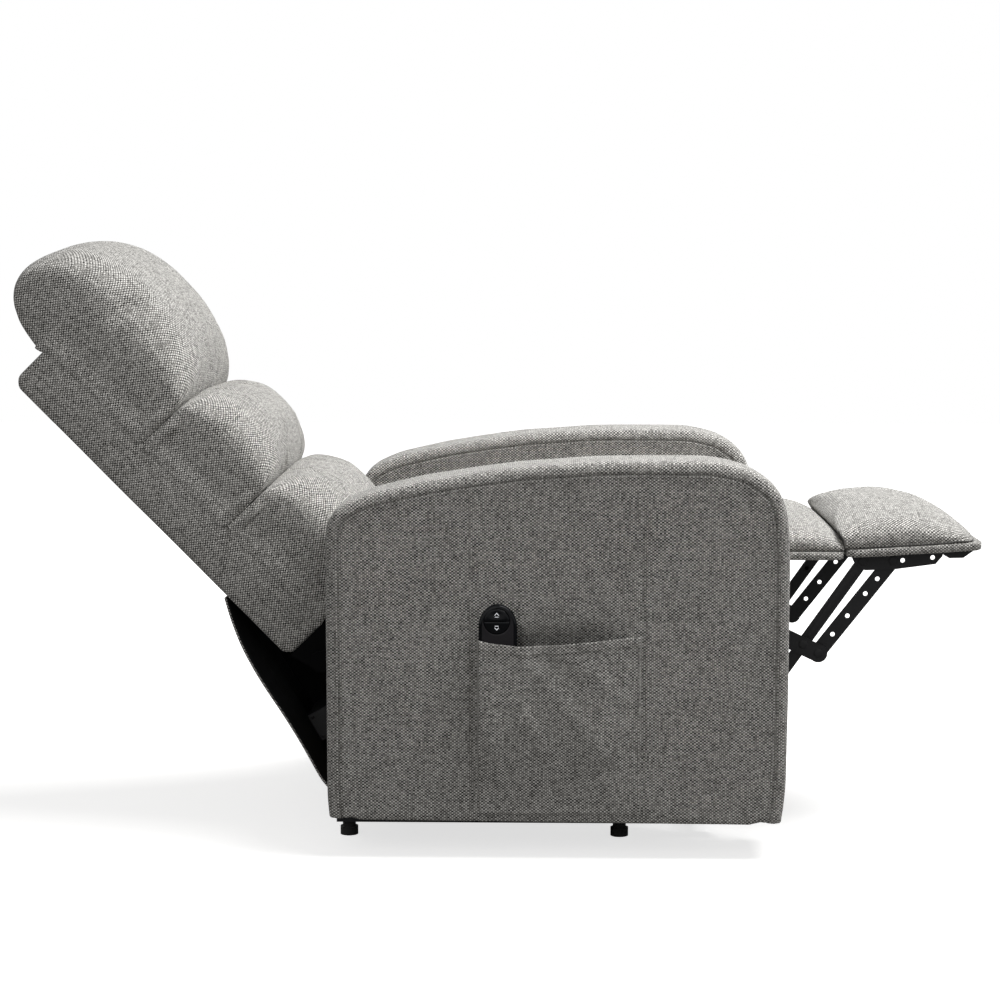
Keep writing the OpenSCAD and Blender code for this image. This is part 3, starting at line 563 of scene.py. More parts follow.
def inwardNormals(line, middle):
    # in-plane normals of a closed line, turned towards its middle
    inward = lineNormals(line, closed=True)
    return -inward if inward[0] @ (np.array(middle) - line[0]) < 0 else inward


def joinRings(count, n, first=0):
    # faces between rings of n points each
    return [(first + r * n + i, first + r * n + (i + 1) % n,
             first + (r + 1) * n + (i + 1) % n, first + (r + 1) * n + i)
            for r in range(count - 1) for i in range(n)]


# arms; the pocket's sizes come first, because the right arm's panel is drawn in behind its mouth
pocket = {"rear": -0.0305, "front": 0.2332, "bottom": 0.074, "cloth": 0.0018, "face": 0.4003,
          "mouth": [(-40, 366), (-9, 358.5), (39, 353), (103, 355.5), (167, 362), (199, 365), (236, 366)],
          "depth": 0.0170, "most": 0.4205, "hem": 0.016, "drawnIn": 0.013, "handsetX": 0.0037}


def pocketMouth(x):
    line = np.array(pocket["mouth"]) / 1000
    return np.interp(x, line[:, 0], line[:, 1])


arm = {"outline": [(-271, 68.5), (-274, 100), (-274, 522), (-272, 551), (-252, 575), (-204, 596),
                   (-112, 617), (-38, 629), (37, 639), (167, 648), (232, 649), (348, 648), (387, 640),
                   (410, 633), (438, 615), (457, 593), (467, 562), (471, 492), (471, 266), (469, 130),
                   (466, 90), (462, 63)],
       "underside": [(462, 63), (450, 62.5), (-262, 68), (-271, 68.5)],
       "middle": 0.335, "half": 0.065, "edge": 0.016, "band": 0.021, "panelSeams": (-0.037, 0.236),
       "puff": 0.0016, "grooveDepth": 0.0030, "spacing": 0.006, "grid": 0.0085}


def armProfile():
    # (inset from the outline, distance from the arm's middle), from the middle of the top outwards
    half, edge, band, deep = arm["half"], arm["edge"], arm["band"], arm["grooveDepth"]
    rows = [(-0.0014, 0.0), (-0.0013, 0.012), (-0.0010, 0.024), (-0.0005, 0.036), (0.0, half - edge - 0.001)]
    for k in range(1, 9):
        a = math.pi / 2 * k / 8
        rows.append((edge * (1 - math.cos(a)), half - edge + edge * math.sin(a)))
    rows += [(band - 0.0030, half + 0.0004), (band - 0.0016, half - 0.0004),
             (band - 0.0007, half - deep * 0.7), (band, half - deep), (band + 0.0007, half - deep * 0.7),
             (band + 0.0016, half - 0.0004), (band + 0.0032, half), (band + 0.0065, half),
             (band + 0.011, half - 0.0002), (band + 0.019, half - 0.0006)]
    return rows


def panelRelief(x, z, outer, side, pocketed):
    # how far the flat panel stands proud: two upright seams, a little swell, slow unevenness
    out = np.zeros(len(x))
    if outer:
        for seam in arm["panelSeams"]:
            gap = np.abs(x - seam)
            out -= 0.6 * arm["grooveDepth"] * np.exp(-(gap / 0.0013) ** 2)
            out += arm["puff"] * (np.exp(-((gap - 0.012) / 0.009) ** 2))
    path = 0.0
    if outer and pocketed:
        # the panel is drawn in behind the pocket's open mouth
        above = z - pocketMouth(x)
        along = smoothStep(x, -0.028, 0.010) * (1 - smoothStep(x, 0.12, 0.225))
        dent = along * np.exp(-(np.maximum(above, 0) / 0.020) ** 2) * smoothStep(z, 0.15, 0.26)
        out -= pocket["drawnIn"] * dent
        # the handset slides up close over the panel, so no swell stands there
        path = 1 - smoothStep(np.abs(x - pocket["handsetX"]), 0.036, 0.048)
        path *= smoothStep(z, 0.38, 0.42)
    flat = np.stack([x, np.full(len(x), side), z], 1)
    out += 0.0016 * noiseAt(flat, 5.0, 3.1) + 0.0007 * noiseAt(flat, 17.0, 8.2)
    return np.minimum(out, 0.0005 - 0.0006 * path) if outer else out


def makeArm(name, node, sign):
    outline = smoothLine(np.array(arm["outline"]) / 1000, arm["spacing"], 0.011)
    under = resample(np.array(arm["underside"]) / 1000, arm["spacing"])
    inward = -lineNormals(outline)
    half = armProfile()
    rows = [(d, -y) for d, y in half[::-1]] + [(d, y) for d, y in half[1:]]
    points, faces, n = [], [], len(outline)
    for d, y in rows:
        ring = outline + inward * d
        wobble = noiseAt(np.stack([ring[:, 0], np.full(n, y), ring[:, 1]], 1), 9.0, 1.7) * 0.0010
        loose = 1.0 if abs(y) < 0.05 else 0.3 * (d < arm["band"] + 0.012)
        ring = ring - inward * wobble[:, None] * loose
        points += [(p[0], arm["middle"] + y, p[1]) for p in ring]
    for r in range(len(rows) - 1):
        for i in range(n - 1):
            a = r * n + i
            faces.append((a, a + 1, a + n + 1, a + n))
    piece = newPiece(name, points, faces, [tweed])
    # side panels: filled inside the last inset ring, down to the underside
    sheets = []
    for outer, y in ((True, half[-1][1]), (False, -half[-1][1])):
        ring = outline + inward * half[-1][0]
        clipped = under[(under[:, 0] > ring[0, 0] + 0.004) & (under[:, 0] < ring[-1, 0] - 0.004)]
        border = np.vstack([ring, clipped])
        low, high = border.min(0), border.max(0)
        xs = np.arange(low[0] + 0.004, high[0], arm["grid"])
        columns = list(xs)
        if outer:
            for seam in arm["panelSeams"]:
                columns = [c for c in columns if abs(c - seam) > 0.0085]
                columns += [seam + k for k in (-0.007, -0.0042, -0.0022, -0.0010, 0.0,
                                               0.0010, 0.0022, 0.0042, 0.007)]
        heights = np.arange(low[1] + 0.004, high[1], arm["grid"])
        inner = np.array([(x, z) for x in sorted(columns) for z in heights])
        # keep points a little inside the border
        topAt = np.interp(inner[:, 0], ring[:, 0], ring[:, 1])
        gap, _ = distanceTo(inner, np.vstack([border, border[:1]]))
        order = np.argsort(under[:, 0])
        floorAt = np.interp(inner[:, 0], under[order, 0], under[order, 1])
        inside = (inner[:, 1] < topAt) & (inner[:, 1] > floorAt) & (gap > 0.0035)
        inside &= (inner[:, 0] > ring[:, 0].min()) & (inner[:, 0] < ring[:, 0].max())
        flat, tris = fillFlat(border, inner[inside])
        rim, _ = distanceTo(flat, ring)
        lift = panelRelief(flat[:, 0], flat[:, 1], outer, y, sign < 0) * smoothStep(rim, 0.0, 0.02)
        out = lift if outer else -lift
        points = [(p[0], arm["middle"] + y + out[k], p[1]) for k, p in enumerate(flat)]
        sheets.append(newPiece(name + "Panel", points, tris, [tweed]))
    work = bmesh.new()
    for part in [piece] + sheets:
        work.from_mesh(part.data)
    for part in sheets:
        old = part.data
        bpy.data.objects.remove(part)
        bpy.data.meshes.remove(old)
    bmesh.ops.remove_doubles(work, verts=work.verts, dist=0.00005)
    # underside: two tucked loops and a flat cover
    edges = [e for e in work.edges if e.is_boundary]
    for drop, tuck in ((0.0022, 0.0010), (0.0016, 0.0036)):
        made = bmesh.ops.extrude_edge_only(work, edges=edges)
        verts = [v for v in made["geom"] if isinstance(v, bmesh.types.BMVert)]
        edges = [e for e in made["geom"] if isinstance(e, bmesh.types.BMEdge)]
        for v in verts:
            v.co.z -= drop
            v.co.y += -math.copysign(min(tuck, abs(v.co.y - arm["middle"])), v.co.y - arm["middle"])
            v.co.x += tuck if v.co.x < 0.1 else -tuck
    bmesh.ops.contextual_create(work, geom=edges)
    bmesh.ops.triangulate(work, faces=[f for f in work.faces if len(f.verts) > 4])
    if sign < 0:
        for v in work.verts:
            v.co.y = -v.co.y
    bmesh.ops.recalc_face_normals(work, faces=work.faces)
    work.to_mesh(piece.data)
    work.free()
    piece.data.polygons.foreach_set("use_smooth", np.full(len(piece.data.polygons), True))
    piece.data.update()
    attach(piece, "chair")
    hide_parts(node)
    return piece


armRight = makeArm("armRightCover", "arm_right", -1)
armLeft = makeArm("armLeftCover", "arm_left", 1)
print("arms made:", len(armLeft.data.polygons), "faces each")


# the back's three cushions
cushion = {"spacing": 0.007, "voxel": 0.0065, "pressure": 4.0, "frames": 20, "cap": 0.024, "start": 0.035}


def loftCushion(name, loop, half, place, rounding, base, ends):
    # loop: closed (along, out) outline in metres; place turns (along, out, across) to the room
    loop = smoothLine(np.array(loop, float) / 1000, cushion["spacing"], 0.009, closed=True)
    loop[:, 1] = np.where(loop[:, 1] < base + 0.004, np.minimum(loop[:, 1], base), loop[:, 1])
    rings, ys = [], []
    edge, wide = rounding["edge"], rounding.get("wide", rounding["edge"])
    for k in range(0, 10):
        a = math.pi / 2 * k / 9
        ys.append((half - wide + wide * math.cos(a), 1 - math.sin(a)))
    for y in np.arange(half - wide - 0.012, 0, -0.012):
        ys.append((y, 0.0))
    ys = [(-y, g) for y, g in ys] + [(0.0, 0.0)] + [(y, g) for y, g in ys[::-1]]
    top = loop[:, 1].max() - base
    for y, g in ys:
        crown = 1 - rounding.get("crown", 0.0) * (abs(y) / half) ** 2.2
        b = base + (loop[:, 1] - base) * crown * (1 - min(0.9, edge / top) * g * rounding.get("drop", 1.0))
        a = loop[:, 0].copy()
        for centre, direction in ends:
            past = (a - centre) * direction
            drawn = 1 - g * rounding["tip"] / max(past.max(), 0.01)
            a = np.where(past > 0, centre + direction * past * drawn, a)
        rings.append(np.stack([a, b, np.full(len(a), y)], 1))
    n, m = len(loop), len(rings)
    points = np.vstack(rings)
    faces = joinRings(m, n) + [tuple(range(n))[::-1], tuple(range((m - 1) * n, m * n))]
    piece = newPiece(name, place(points), faces, [tweed])
    return outwards(piece)


def remesh(piece, voxel):
    paints = list(piece.data.materials)
    step = piece.modifiers.new("remesh", "REMESH")
    step.mode, step.voxel_size, step.use_smooth_shade = "VOXEL", voxel, True
    bakeModifiers(piece)
    piece.data.materials.clear()
    for paint in paints:
        piece.data.materials.append(paint)
    piece.data.polygons.foreach_set("material_index", np.zeros(len(piece.data.polygons), np.int32))
    return piece


def bakeModifiers(piece):
    graph = bpy.context.evaluated_depsgraph_get()
    graph.update()
    baked = bpy.data.meshes.new_from_object(piece.evaluated_get(graph))
    old = piece.data
    piece.modifiers.clear()
    piece.data = baked
    bpy.data.meshes.remove(old)
    return piece


def relax(piece, rounds):
    work = bmesh.new()
    work.from_mesh(piece.data)
    for _ in range(rounds):
        bmesh.ops.smooth_vert(work, verts=work.verts, factor=0.5,
                              use_axis_x=True, use_axis_y=True, use_axis_z=True)
    work.to_mesh(piece.data)
    work.free()
    piece.data.update()


def inflate(piece, pinned, cap, pressure, frames):
    # blow the cover up with Cloth, hold the pinned share, cap how far any point moves
    before = getPoints(piece)
    group = piece.vertex_groups.new(name="held")
    for value in (1.0, 0.5):
        chosen = np.nonzero(pinned >= value if value == 1.0 else (pinned > 0.25) & (pinned < 1.0))[0]
        group.add([int(k) for k in chosen], value, "REPLACE")
    step = piece.modifiers.new("swell", "CLOTH")
    cloth = step.settings
    cloth.quality = 5
    cloth.mass = 0.3
    cloth.use_pressure, cloth.uniform_pressure_force = True, pressure
    cloth.effector_weights.gravity = 0.0
    cloth.tension_stiffness = cloth.compression_stiffness = 18
    cloth.shear_stiffness, cloth.bending_stiffness = 9, 0.6
    cloth.vertex_group_mass, cloth.pin_stiffness = "held", 1.0
    step.collision_settings.use_collision = False
    step.point_cache.frame_start, step.point_cache.frame_end = 1, frames
    scene = bpy.context.scene
    for k in range(1, frames + 1):
        scene.frame_set(k)
    graph = bpy.context.evaluated_depsgraph_get()
    shape = piece.evaluated_get(graph).to_mesh()
    after = np.zeros(len(shape.vertices) * 3, np.float32)
    shape.vertices.foreach_get("co", after)
    piece.evaluated_get(graph).to_mesh_clear()
    piece.modifiers.clear()
    piece.vertex_groups.clear()
    scene.frame_set(1)
    move = after.reshape(-1, 3) - before
    far = np.linalg.norm(move, axis=1)
    soft = cap * np.tanh(far / cap)
    setPoints(piece, before + move * (soft / np.maximum(far, 1e-9))[:, None])
    print(piece.name, "swelled: mean %.1f mm, most %.1f mm" % (soft.mean() * 1000, soft.max() * 1000))


def subdivide(piece):
    step = piece.modifiers.new("smooth", "SUBSURF")
    step.levels = step.render_levels = 1
    return bakeModifiers(piece)


backSheet = {"corner": (-0.351, 0.305), "length": 0.646, "depth": 0.084, "half": 0.262}


def ontoBack(p):
    # (up the back, out of it, across) to the room
    c, s = math.cos(backTilt), math.sin(backTilt)
    x = backSheet["corner"][0] - s * p[:, 0] + c * p[:, 1]
    z = backSheet["corner"][1] + c * p[:, 0] + s * p[:, 1]
    return np.stack([x, p[:, 2], z], 1)


def offBack(p):
    c, s = math.cos(backTilt), math.sin(backTilt)
    dx, dz = p[:, 0] - backSheet["corner"][0], p[:, 2] - backSheet["corner"][1]
    return np.stack([-s * dx + c * dz, c * dx + s * dz, p[:, 1]], 1)


def flatAway(p):
    return np.stack([p[:, 0], p[:, 2], p[:, 1]], 1)


baseLine = 76.0
pillowShape = {"wide": 0.070, "crown": 0.25, "tip": 0.022, "side": 0.2645, "sideStart": 0.248,
               "dimples": 0.0030, "gathers": 0.0011}
pillows = {
    "lumbarPillow": {"node": "lumbar_pillow", "low": 4, "high": 226.8, "edge": 0.048,
                     "loop": [(4, baseLine), (4, 165), (10, 215), (36, 252), (72, 270), (110, 275),
                              (144, 272), (175, 266), (201, 256), (219, 241), (226.8, 222),
                              (226.8, baseLine)]},
    "middlePillow": {"node": "middle_pillow", "low": 227.2, "high": 422.8, "edge": 0.048,
                     "loop": [(227.2, baseLine), (227.2, 222), (237, 243), (268, 256), (318, 263), (353, 262),
                              (383, 255), (411, 243), (422.8, 223), (422.8, baseLine)]},
    "headPillow": {"node": "head_pillow", "low": 423.2, "high": None, "edge": 0.052,
                   "loop": [(423.2, baseLine), (423.2, 223), (441, 246), (479, 266), (520, 281),
                            (566, 291), (640, 291), (697, 276), (742, 245), (762, 204), (771, 172),
                            (771, 146), (758, 113), (742, 95), (705, 73), (652, 61), (646.6, 61),
                            (646.6, baseLine)]}}


def softLimit(value, start, limit):
    # eases values past the start towards the limit, both ways
    past, spare = np.maximum(np.abs(value) - start, 0), limit - start
    return np.sign(value) * (np.minimum(np.abs(value), start) + spare * (1 - np.exp(-past / spare)))


def makePillow(name, facts):
    base = baseLine / 1000
    low = facts["low"] / 1000
    high = facts["high"] / 1000 if facts["high"] else None
    ends = [] if high else [(0.60, 1)]
    piece = loftCushion(name, facts["loop"], backSheet["half"] + 0.0015, ontoBack,
                        {"edge": facts["edge"], **pillowShape}, base, ends)
    piece.data.materials[0] = tweedBack
    remesh(piece, cushion["voxel"])
    relax(piece, 9)
    local = offBack(getPoints(piece))
    # start a little small, so that it swells to size
    local[:, 1] -= cushion["start"] * np.maximum(local[:, 1] - base, 0)
    local[:, 2] *= 0.992
    setPoints(piece, ontoBack(local))
    pinned = 1 - smoothStep(local[:, 1], base + 0.006, base + 0.03)
    pinned *= 1 - smoothStep(local[:, 0], 0.655, 0.70)
    inflate(piece, pinned, cushion["cap"], cushion["pressure"], cushion["frames"])
    subdivide(piece)
    local = offBack(getPoints(piece))
    up, out, across = local[:, 0].copy(), local[:, 1].copy(), local[:, 2].copy()
    # neighbours press flat on each other along the creases
    up = np.maximum(up, low)
    if high:
        up = np.minimum(up, high)
    side = pillowShape["side"]
    across = softLimit(across, pillowShape["sideStart"], side)
    # the rims stand flush with the frame's side, where both are sewn together
    rim = (1 - smoothStep(out - base, 0.006, 0.045)) * (np.abs(across) > 0.225) * (up < 0.66)
    across += np.sign(across) * (side - np.abs(across)) * rim * 0.85
    # low on the sides the cushions share one side panel: their corners close up there
    seams = [low, high] if high else [low]
    for seam in seams:
        inFromSeam, inFromSide = np.abs(up - seam), side - np.abs(across)
        corner = (1 - smoothStep(out, 0.125, 0.165)) * (inFromSeam < 0.020) * (inFromSide < 0.020)
        toSide = corner * (inFromSide <= inFromSeam)
        across += np.sign(across) * inFromSide * toSide * 0.9
        up += (seam - up) * corner * (inFromSide > inFromSeam) * 0.95
    # soft dimples and short gathers that run out from the creases
    gather = np.zeros(len(up))
    for seam in seams:
        near = np.exp(-(np.abs(up - seam) / 0.022) ** 2)
        gather += near * (np.sin(across * 260 + 2.0 * np.sin(across * 37 + seam * 90)) * 0.5)
    front = smoothStep(out, base + 0.06, base + 0.12)
    placed = getPoints(piece)
    spots = noiseAt(placed, 7.0, low * 10) * pillowShape["dimples"] + noiseAt(placed, 22.0, 4.0) * 0.0008
    out = out + front * (spots + gather * pillowShape["gathers"])
    out = np.where((local[:, 1] < base + 0.02) & (up < 0.645), np.maximum(out, base), out)
    setPoints(piece, ontoBack(np.stack([up, out, across], 1)))
    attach(piece, "backrest")
    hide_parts(facts["node"])
    return piece


for name, facts in pillows.items():
    made = makePillow(name, facts)
    print(name, "made:", len(made.data.polygons), "faces")


# seat cushion
seat = {"loop": [(-78, 407), (-78, 424), (-74, 456), (-45, 486), (60, 505), (200, 512), (315, 514),
                 (357, 510), (378, 488), (385, 458), (385, 437), (334, 434)],
        "half": 0.2690, "sideStart": 0.256, "edge": 0.034, "crown": 0.04, "drop": 0.8, "tip": 0.03,
        "start": 0.10, "cap": 0.011}


def seatBase(x):
    return 0.4068 + (x + 0.078) * (0.4325 - 0.4068) / 0.412


def makeSeat():
    piece = loftCushion("seatCushionCover", seat["loop"], seat["half"], flatAway,
                        seat, 0.407, [(0.33, 1)])
    remesh(piece, cushion["voxel"])
    relax(piece, 6)
    spot = getPoints(piece)
    spot[:, 2] -= seat["start"] * np.maximum(spot[:, 2] - seatBase(spot[:, 0]), 0)
    spot[:, 1] *= 0.985
    setPoints(piece, spot)
    pinned = 1 - smoothStep(spot[:, 2] - seatBase(spot[:, 0]), 0.004, 0.02)
    inflate(piece, pinned, seat["cap"], cushion["pressure"], cushion["frames"])
    subdivide(piece)
    p = getPoints(piece)
    p[:, 1] = softLimit(p[:, 1], seat["sideStart"], seat["half"])
    floorAt = seatBase(p[:, 0])
    p[:, 2] = np.maximum(p[:, 2], floorAt)
    p[:, 0] = np.maximum(p[:, 0], -0.078)
    top = smoothStep(p[:, 2] - floorAt, 0.04, 0.07)
    p[:, 2] += top * (noiseAt(p, 6.0, 2.0) * 0.004 + noiseAt(p, 20.0, 5.0) * 0.0008)
    setPoints(piece, p)
    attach(piece, "chair")
    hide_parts("seat_cushion")
    return piece


makeSeat()
print("seat cushion made")


# footrest pads
rest = {"half": 0.256, "side": 0.2565, "sideStart": 0.240, "edge": 0.055, "wide": 0.085, "drop": 0.92,
        "tip": 0.012, "voxel": 0.006, "shrink": 0.08, "cap": 0.014, "slope": math.radians(3.6),
        "start": (0.577, 0.475), "valley": ((0.5738, 0.5072), (0.5545, 0.536)), "padCrown": 0.26,
        "calfCrown": 0.27,
        "pad": [(577, 488.5), (574, 507), (558, 530), (577, 546), (609, 556), (666, 563), (706, 560),
                (742, 549), (772, 536), (790, 521), (801, 507), (802, 499), (796, 501.5)],
        "calf": [(400, 485), (399, 505), (407, 526), (430, 536), (482, 540), (506, 539), (530, 536),
                 (552, 528), (572, 507), (578, 485)]}


def restBase(x):
    return rest["start"][1] + 0.0124 + (x - rest["start"][0]) * math.tan(rest["slope"])


def calfBase(x):
    return np.full(len(x), 0.4844)


def makePad(name, node, loop, baseOf, base, ends, front, crown):
    piece = loftCushion(name, loop, rest["half"], flatAway, {**rest, "crown": crown}, base, ends)
    remesh(piece, rest["voxel"])
    relax(piece, 5)
    p = getPoints(piece)
    p[:, 2] -= rest["shrink"] * np.maximum(p[:, 2] - baseOf(p[:, 0]), 0)
    p[:, 1] *= 0.985
    setPoints(piece, p)
    pinned = 1 - smoothStep(p[:, 2] - baseOf(p[:, 0]), 0.004, 0.018)
    inflate(piece, pinned, rest["cap"], cushion["pressure"], cushion["frames"])
    subdivide(piece)
    p = getPoints(piece)
    floorAt = baseOf(p[:, 0])
    p[:, 2] = np.maximum(p[:, 2], floorAt)
    rise = p[:, 2] - floorAt
    p[:, 1] = softLimit(p[:, 1], rest["sideStart"], rest["side"])
    top = smoothStep(rise, 0.03, 0.05)
    p[:, 2] += top * (noiseAt(p, 9.0, 6.0) * 0.0026 + noiseAt(p, 26.0, 1.0) * 0.0009)
    p[:, 2] = np.maximum(p[:, 2], baseOf(p[:, 0]))
    # the two pads press flat along their valley
    (lowX, lowZ), (highX, highZ) = rest["valley"]
    edgeAt = lowX - (p[:, 2] - lowZ) * (lowX - highX) / (highZ - lowZ)
    edgeAt = np.clip(edgeAt, 0.548, 0.577)
    away = (p[:, 0] - edgeAt) * (1 if front else -1)
    low = 1 - smoothStep(rise, 0.018, 0.040)
    away = np.where(away < 0.020, away * (1 - low * (1 - smoothStep(away, 0.004, 0.020))), away)
    p[:, 0] = edgeAt + np.maximum(away, 0.0003) * (1 if front else -1)
    setPoints(piece, p)
    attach(piece, "footrest")
    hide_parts(node)
    return piece


footrestPad = makePad("footrestPadCover", "footrest_pad", rest["pad"], restBase, 0.4885, [(0.74, 1)],
                      True, rest["padCrown"])
makePad("calfPadCover", "calf_pad", rest["calf"], calfBase, 0.485, [], False, rest["calfCrown"])
print("footrest pads made")


# the back's own cover
backCover = {"edge": 0.009, "corner": 0.0125, "seamInset": 0.016, "swell": 0.0022, "stitchInset": 0.0235}


def slabRings(half, edge, steps=6):
    # rings over a slab with rounded rims: (inset, across) from one face to the other
    rows = []
    for k in range(steps + 1):
        a = math.pi / 2 * k / steps
        rows.append((edge * (1 - math.sin(a)), -half + edge * (1 - math.cos(a))))
    rows += [(0.0, y) for y in np.arange(-half + edge + 0.012, half - edge - 0.006, 0.012)]
    rows += [(d, -y) for d, y in rows[:steps + 1][::-1]]
    return rows


def makeBackCover():
    size = backSheet
    cut = backCover["corner"]
    corners = [(0.0, cut), (cut, 0.0), (size["length"] - cut, 0.0), (size["length"], cut),
               (size["length"], size["depth"]), (0.0, size["depth"])]
    outline = smoothLine(np.array(corners), 0.006, 0.004, closed=True)
    inward = inwardNormals(outline, (size["length"] / 2, size["depth"] / 2))
    rows = slabRings(size["half"], backCover["edge"])
    n, points = len(outline), []
    # the front rim stays square, where the cushions' side panels run on from it
    ease = 1 - 0.8 * smoothStep(outline[:, 1], size["depth"] - 0.020, size["depth"] - 0.006)
    inward = inward * ease[:, None]
    for d, y in rows:
        ring = outline + inward * d
        points += [(p[0], p[1], y) for p in ring]
    faces = joinRings(len(rows), n)
    for r in (0, len(rows) - 1):
        ring = outline + inward * rows[r][0]
        low, high = ring.min(0), ring.max(0)
        inner = np.array([(u, v) for u in np.arange(low[0] + 0.006, high[0] - 0.004, 0.009)
                          for v in np.arange(low[1] + 0.006, high[1] - 0.004, 0.0065)])
        flat, tris = fillFlat(ring, inner)
        start = len(points)
        points += [(p[0], p[1], rows[r][1]) for p in flat]
        faces += [tuple(start + k for k in f) for f in tris]
    piece = newPiece("backFrameCover", ontoBack(np.array(points, float)), faces, [tweedBack])
    outwards(piece, 0.0001)
    p = offBack(getPoints(piece))
    out = np.minimum(np.minimum(p[:, 0], size["length"] - p[:, 0]), 0.06) / 0.06
    side = smoothStep(np.abs(p[:, 2]), size["half"] - 0.004, size["half"] - 0.001)
    face = smoothStep(-p[:, 1], -0.004, -0.001)
    middle = 1 - (p[:, 1] / size["depth"] * 2 - 1) ** 2
    p[:, 2] += np.sign(p[:, 2]) * side * (backCover["swell"] * middle * out + 0.0010 * noiseAt(p, 8.0, 5.0))
    # rear panel: sewn in a little inside the rim, softly swollen
    rim = np.minimum(np.minimum(p[:, 0], size["length"] - p[:, 0]), size["half"] - np.abs(p[:, 2]))
    groove = np.exp(-((rim - backCover["seamInset"]) / 0.0045) ** 2)
    p[:, 1] -= face * (smoothStep(rim, 0.01, 0.09) * 0.0035 - groove * 0.0022 + 0.0012 * noiseAt(p, 6.0, 9.0))
    setPoints(piece, ontoBack(p))
    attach(piece, "backrest")
    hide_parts("back_frame")
    return piece


backCoverPiece = makeBackCover()
print("back cover made")


# side pocket on the right arm
def pocketBulge(x, z):
    across = smoothStep(x, -0.0303, -0.0268) * (1 - smoothStep(x, 0.150, 0.230) ** 0.9)
    upward = smoothStep(z, 0.082, 0.235)
    slack = 1 - 0.20 * smoothStep(x, 0.036, 0.075) * (1 - smoothStep(x, 0.075, 0.18))
    return pocket["depth"] * across * upward * slack


def pocketFolds(x, z):
    out = np.zeros(len(x))
    top = pocketMouth(x)
    for x0, z0, x1, z1, width, tall in ((0.030, 0.262, 0.112, 0.120, 0.012, 0.0022),
                                        (0.046, 0.330, 0.175, 0.175, 0.016, 0.0018),
                                        (-0.022, 0.255, 0.006, 0.125, 0.011, 0.0016),
                                        (0.100, 0.345, 0.208, 0.262, 0.013, 0.0016)):
        gap, _ = distanceTo(np.stack([x, z], 1), [(x0, z0), ((x0 + x1) / 2 + 0.004, (z0 + z1) / 2), (x1, z1)])
        out += tall * (np.exp(-(gap / width) ** 2) - 0.45 * np.exp(-((gap - width * 1.6) / width) ** 2))
    flat = np.stack([x, np.zeros(len(x)), z], 1)
    out += 0.0011 * noiseAt(flat, 14.0, 2.2)
    away = smoothStep(z, 0.085, 0.13) * smoothStep(x, -0.029, -0.022) * (1 - smoothStep(x, 0.20, 0.230))
    return out * away * (1 - 0.6 * smoothStep(z, top - 0.02, top))


def makePocket():
    nx, nz = 112, 104
    xs = np.linspace(pocket["rear"], pocket["front"], nx)
    # crowd columns at the steep rear edge
    xs = np.sort(np.concatenate([xs, np.linspace(-0.0302, -0.0258, 8)]))
    nx = len(xs)
    grid = []
    for j in range(nz):
        t = j / (nz - 1)
        z = pocket["bottom"] + (pocketMouth(xs) - pocket["bottom"]) * t
        grid.append(np.stack([xs, z], 1))
    flat = np.vstack(grid)
    x, z = flat[:, 0], flat[:, 1]
    lift = pocketBulge(x, z)
    fold = pocketFolds(x, z)
    # the handset fills the pocket at its rear end, so no fold sinks in there
    fold = np.where((x < 0.040) & (z > 0.256), np.maximum(fold, 0.0), fold)
    top = pocketMouth(x)
    hem = smoothStep(z, top - pocket["hem"] - 0.0016, top - pocket["hem"] + 0.0006) * 0.0009
    tuck = 0.0028 * (1 - smoothStep(np.minimum(x - pocket["rear"], pocket["front"] - x), 0.0, 0.0028))
    tuck += 0.0028 * (1 - smoothStep(z - pocket["bottom"], 0.0, 0.004))
    outer = pocket["face"] + pocket["cloth"] + lift + fold + hem - tuck
    outer = np.minimum(outer, pocket["most"])
    inner = outer - pocket["cloth"] - hem
    points = [(x[k], -skin[k], z[k]) for skin in (outer, inner) for k in range(len(x))]
    shift, faces = len(x), []
    for j in range(nz - 1):
        for i in range(nx - 1):
            a = j * nx + i
            faces.append((a, a + 1, a + nx + 1, a + nx))
            faces.append((a + shift, a + nx + shift, a + nx + 1 + shift, a + 1 + shift))
    rim = gridRim(nx, nz)
    for k in range(len(rim)):
        a, b = rim[k], rim[(k + 1) % len(rim)]
        faces.append((b, a, a + shift, b + shift))
    piece = newPiece("sidePocketCloth", points, faces, [tweed])
    outwards(piece)
    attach(piece, "chair")
    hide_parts("pocket_panel")
    return piece


pocketCloth = makePocket()
print("pocket made")


# rear flap, and black sheets that stand in for the shade inside the chair (painted shade)
flap = {"line": [(-458.6, 404), (-449.5, 371), (-430, 320), (-400, 266), (-362, 207), (-334, 160),
                 (-309, 113), (-291, 78), (-264, 67)], "half": 0.250, "cloth": 0.0035}


def sheetBetween(name, outside, rows, paints, thick):
    # a cloth through a grid of points, thickened inwards: rows[j][i] are points
    rows = np.array(rows, float)
    m, n = rows.shape[:2]
    piece = newPiece(name, rows.reshape(-1, 3),
                     [(j * n + i, j * n + i + 1, (j + 1) * n + i + 1, (j + 1) * n + i)
                      for j in range(m - 1) for i in range(n - 1)], paints[:1])
    nor = getNormals(piece)
    if np.mean(np.sum(nor * outside, axis=1)) < 0:
        nor = -nor
    p = getPoints(piece)
    q = p - nor * thick
    old = piece.data
    bpy.data.objects.remove(piece)
    bpy.data.meshes.remove(old)
    faces, slots, s = [], [], m * n
    for j in range(m - 1):
        for i in range(n - 1):
            a = j * n + i
            faces.append((a, a + 1, a + n + 1, a + n))
            faces.append((a + s, a + n + s, a + n + 1 + s, a + 1 + s))
            slots += [0, 1]
    rim = gridRim(n, m)
    for k in range(len(rim)):
        a, b = rim[k], rim[(k + 1) % len(rim)]
        faces.append((b, a, a + s, b + s))
        slots.append(0)
    piece = newPiece(name, np.vstack([p, q]), faces, paints, slots if len(paints) > 1 else None)
    return outwards(piece)


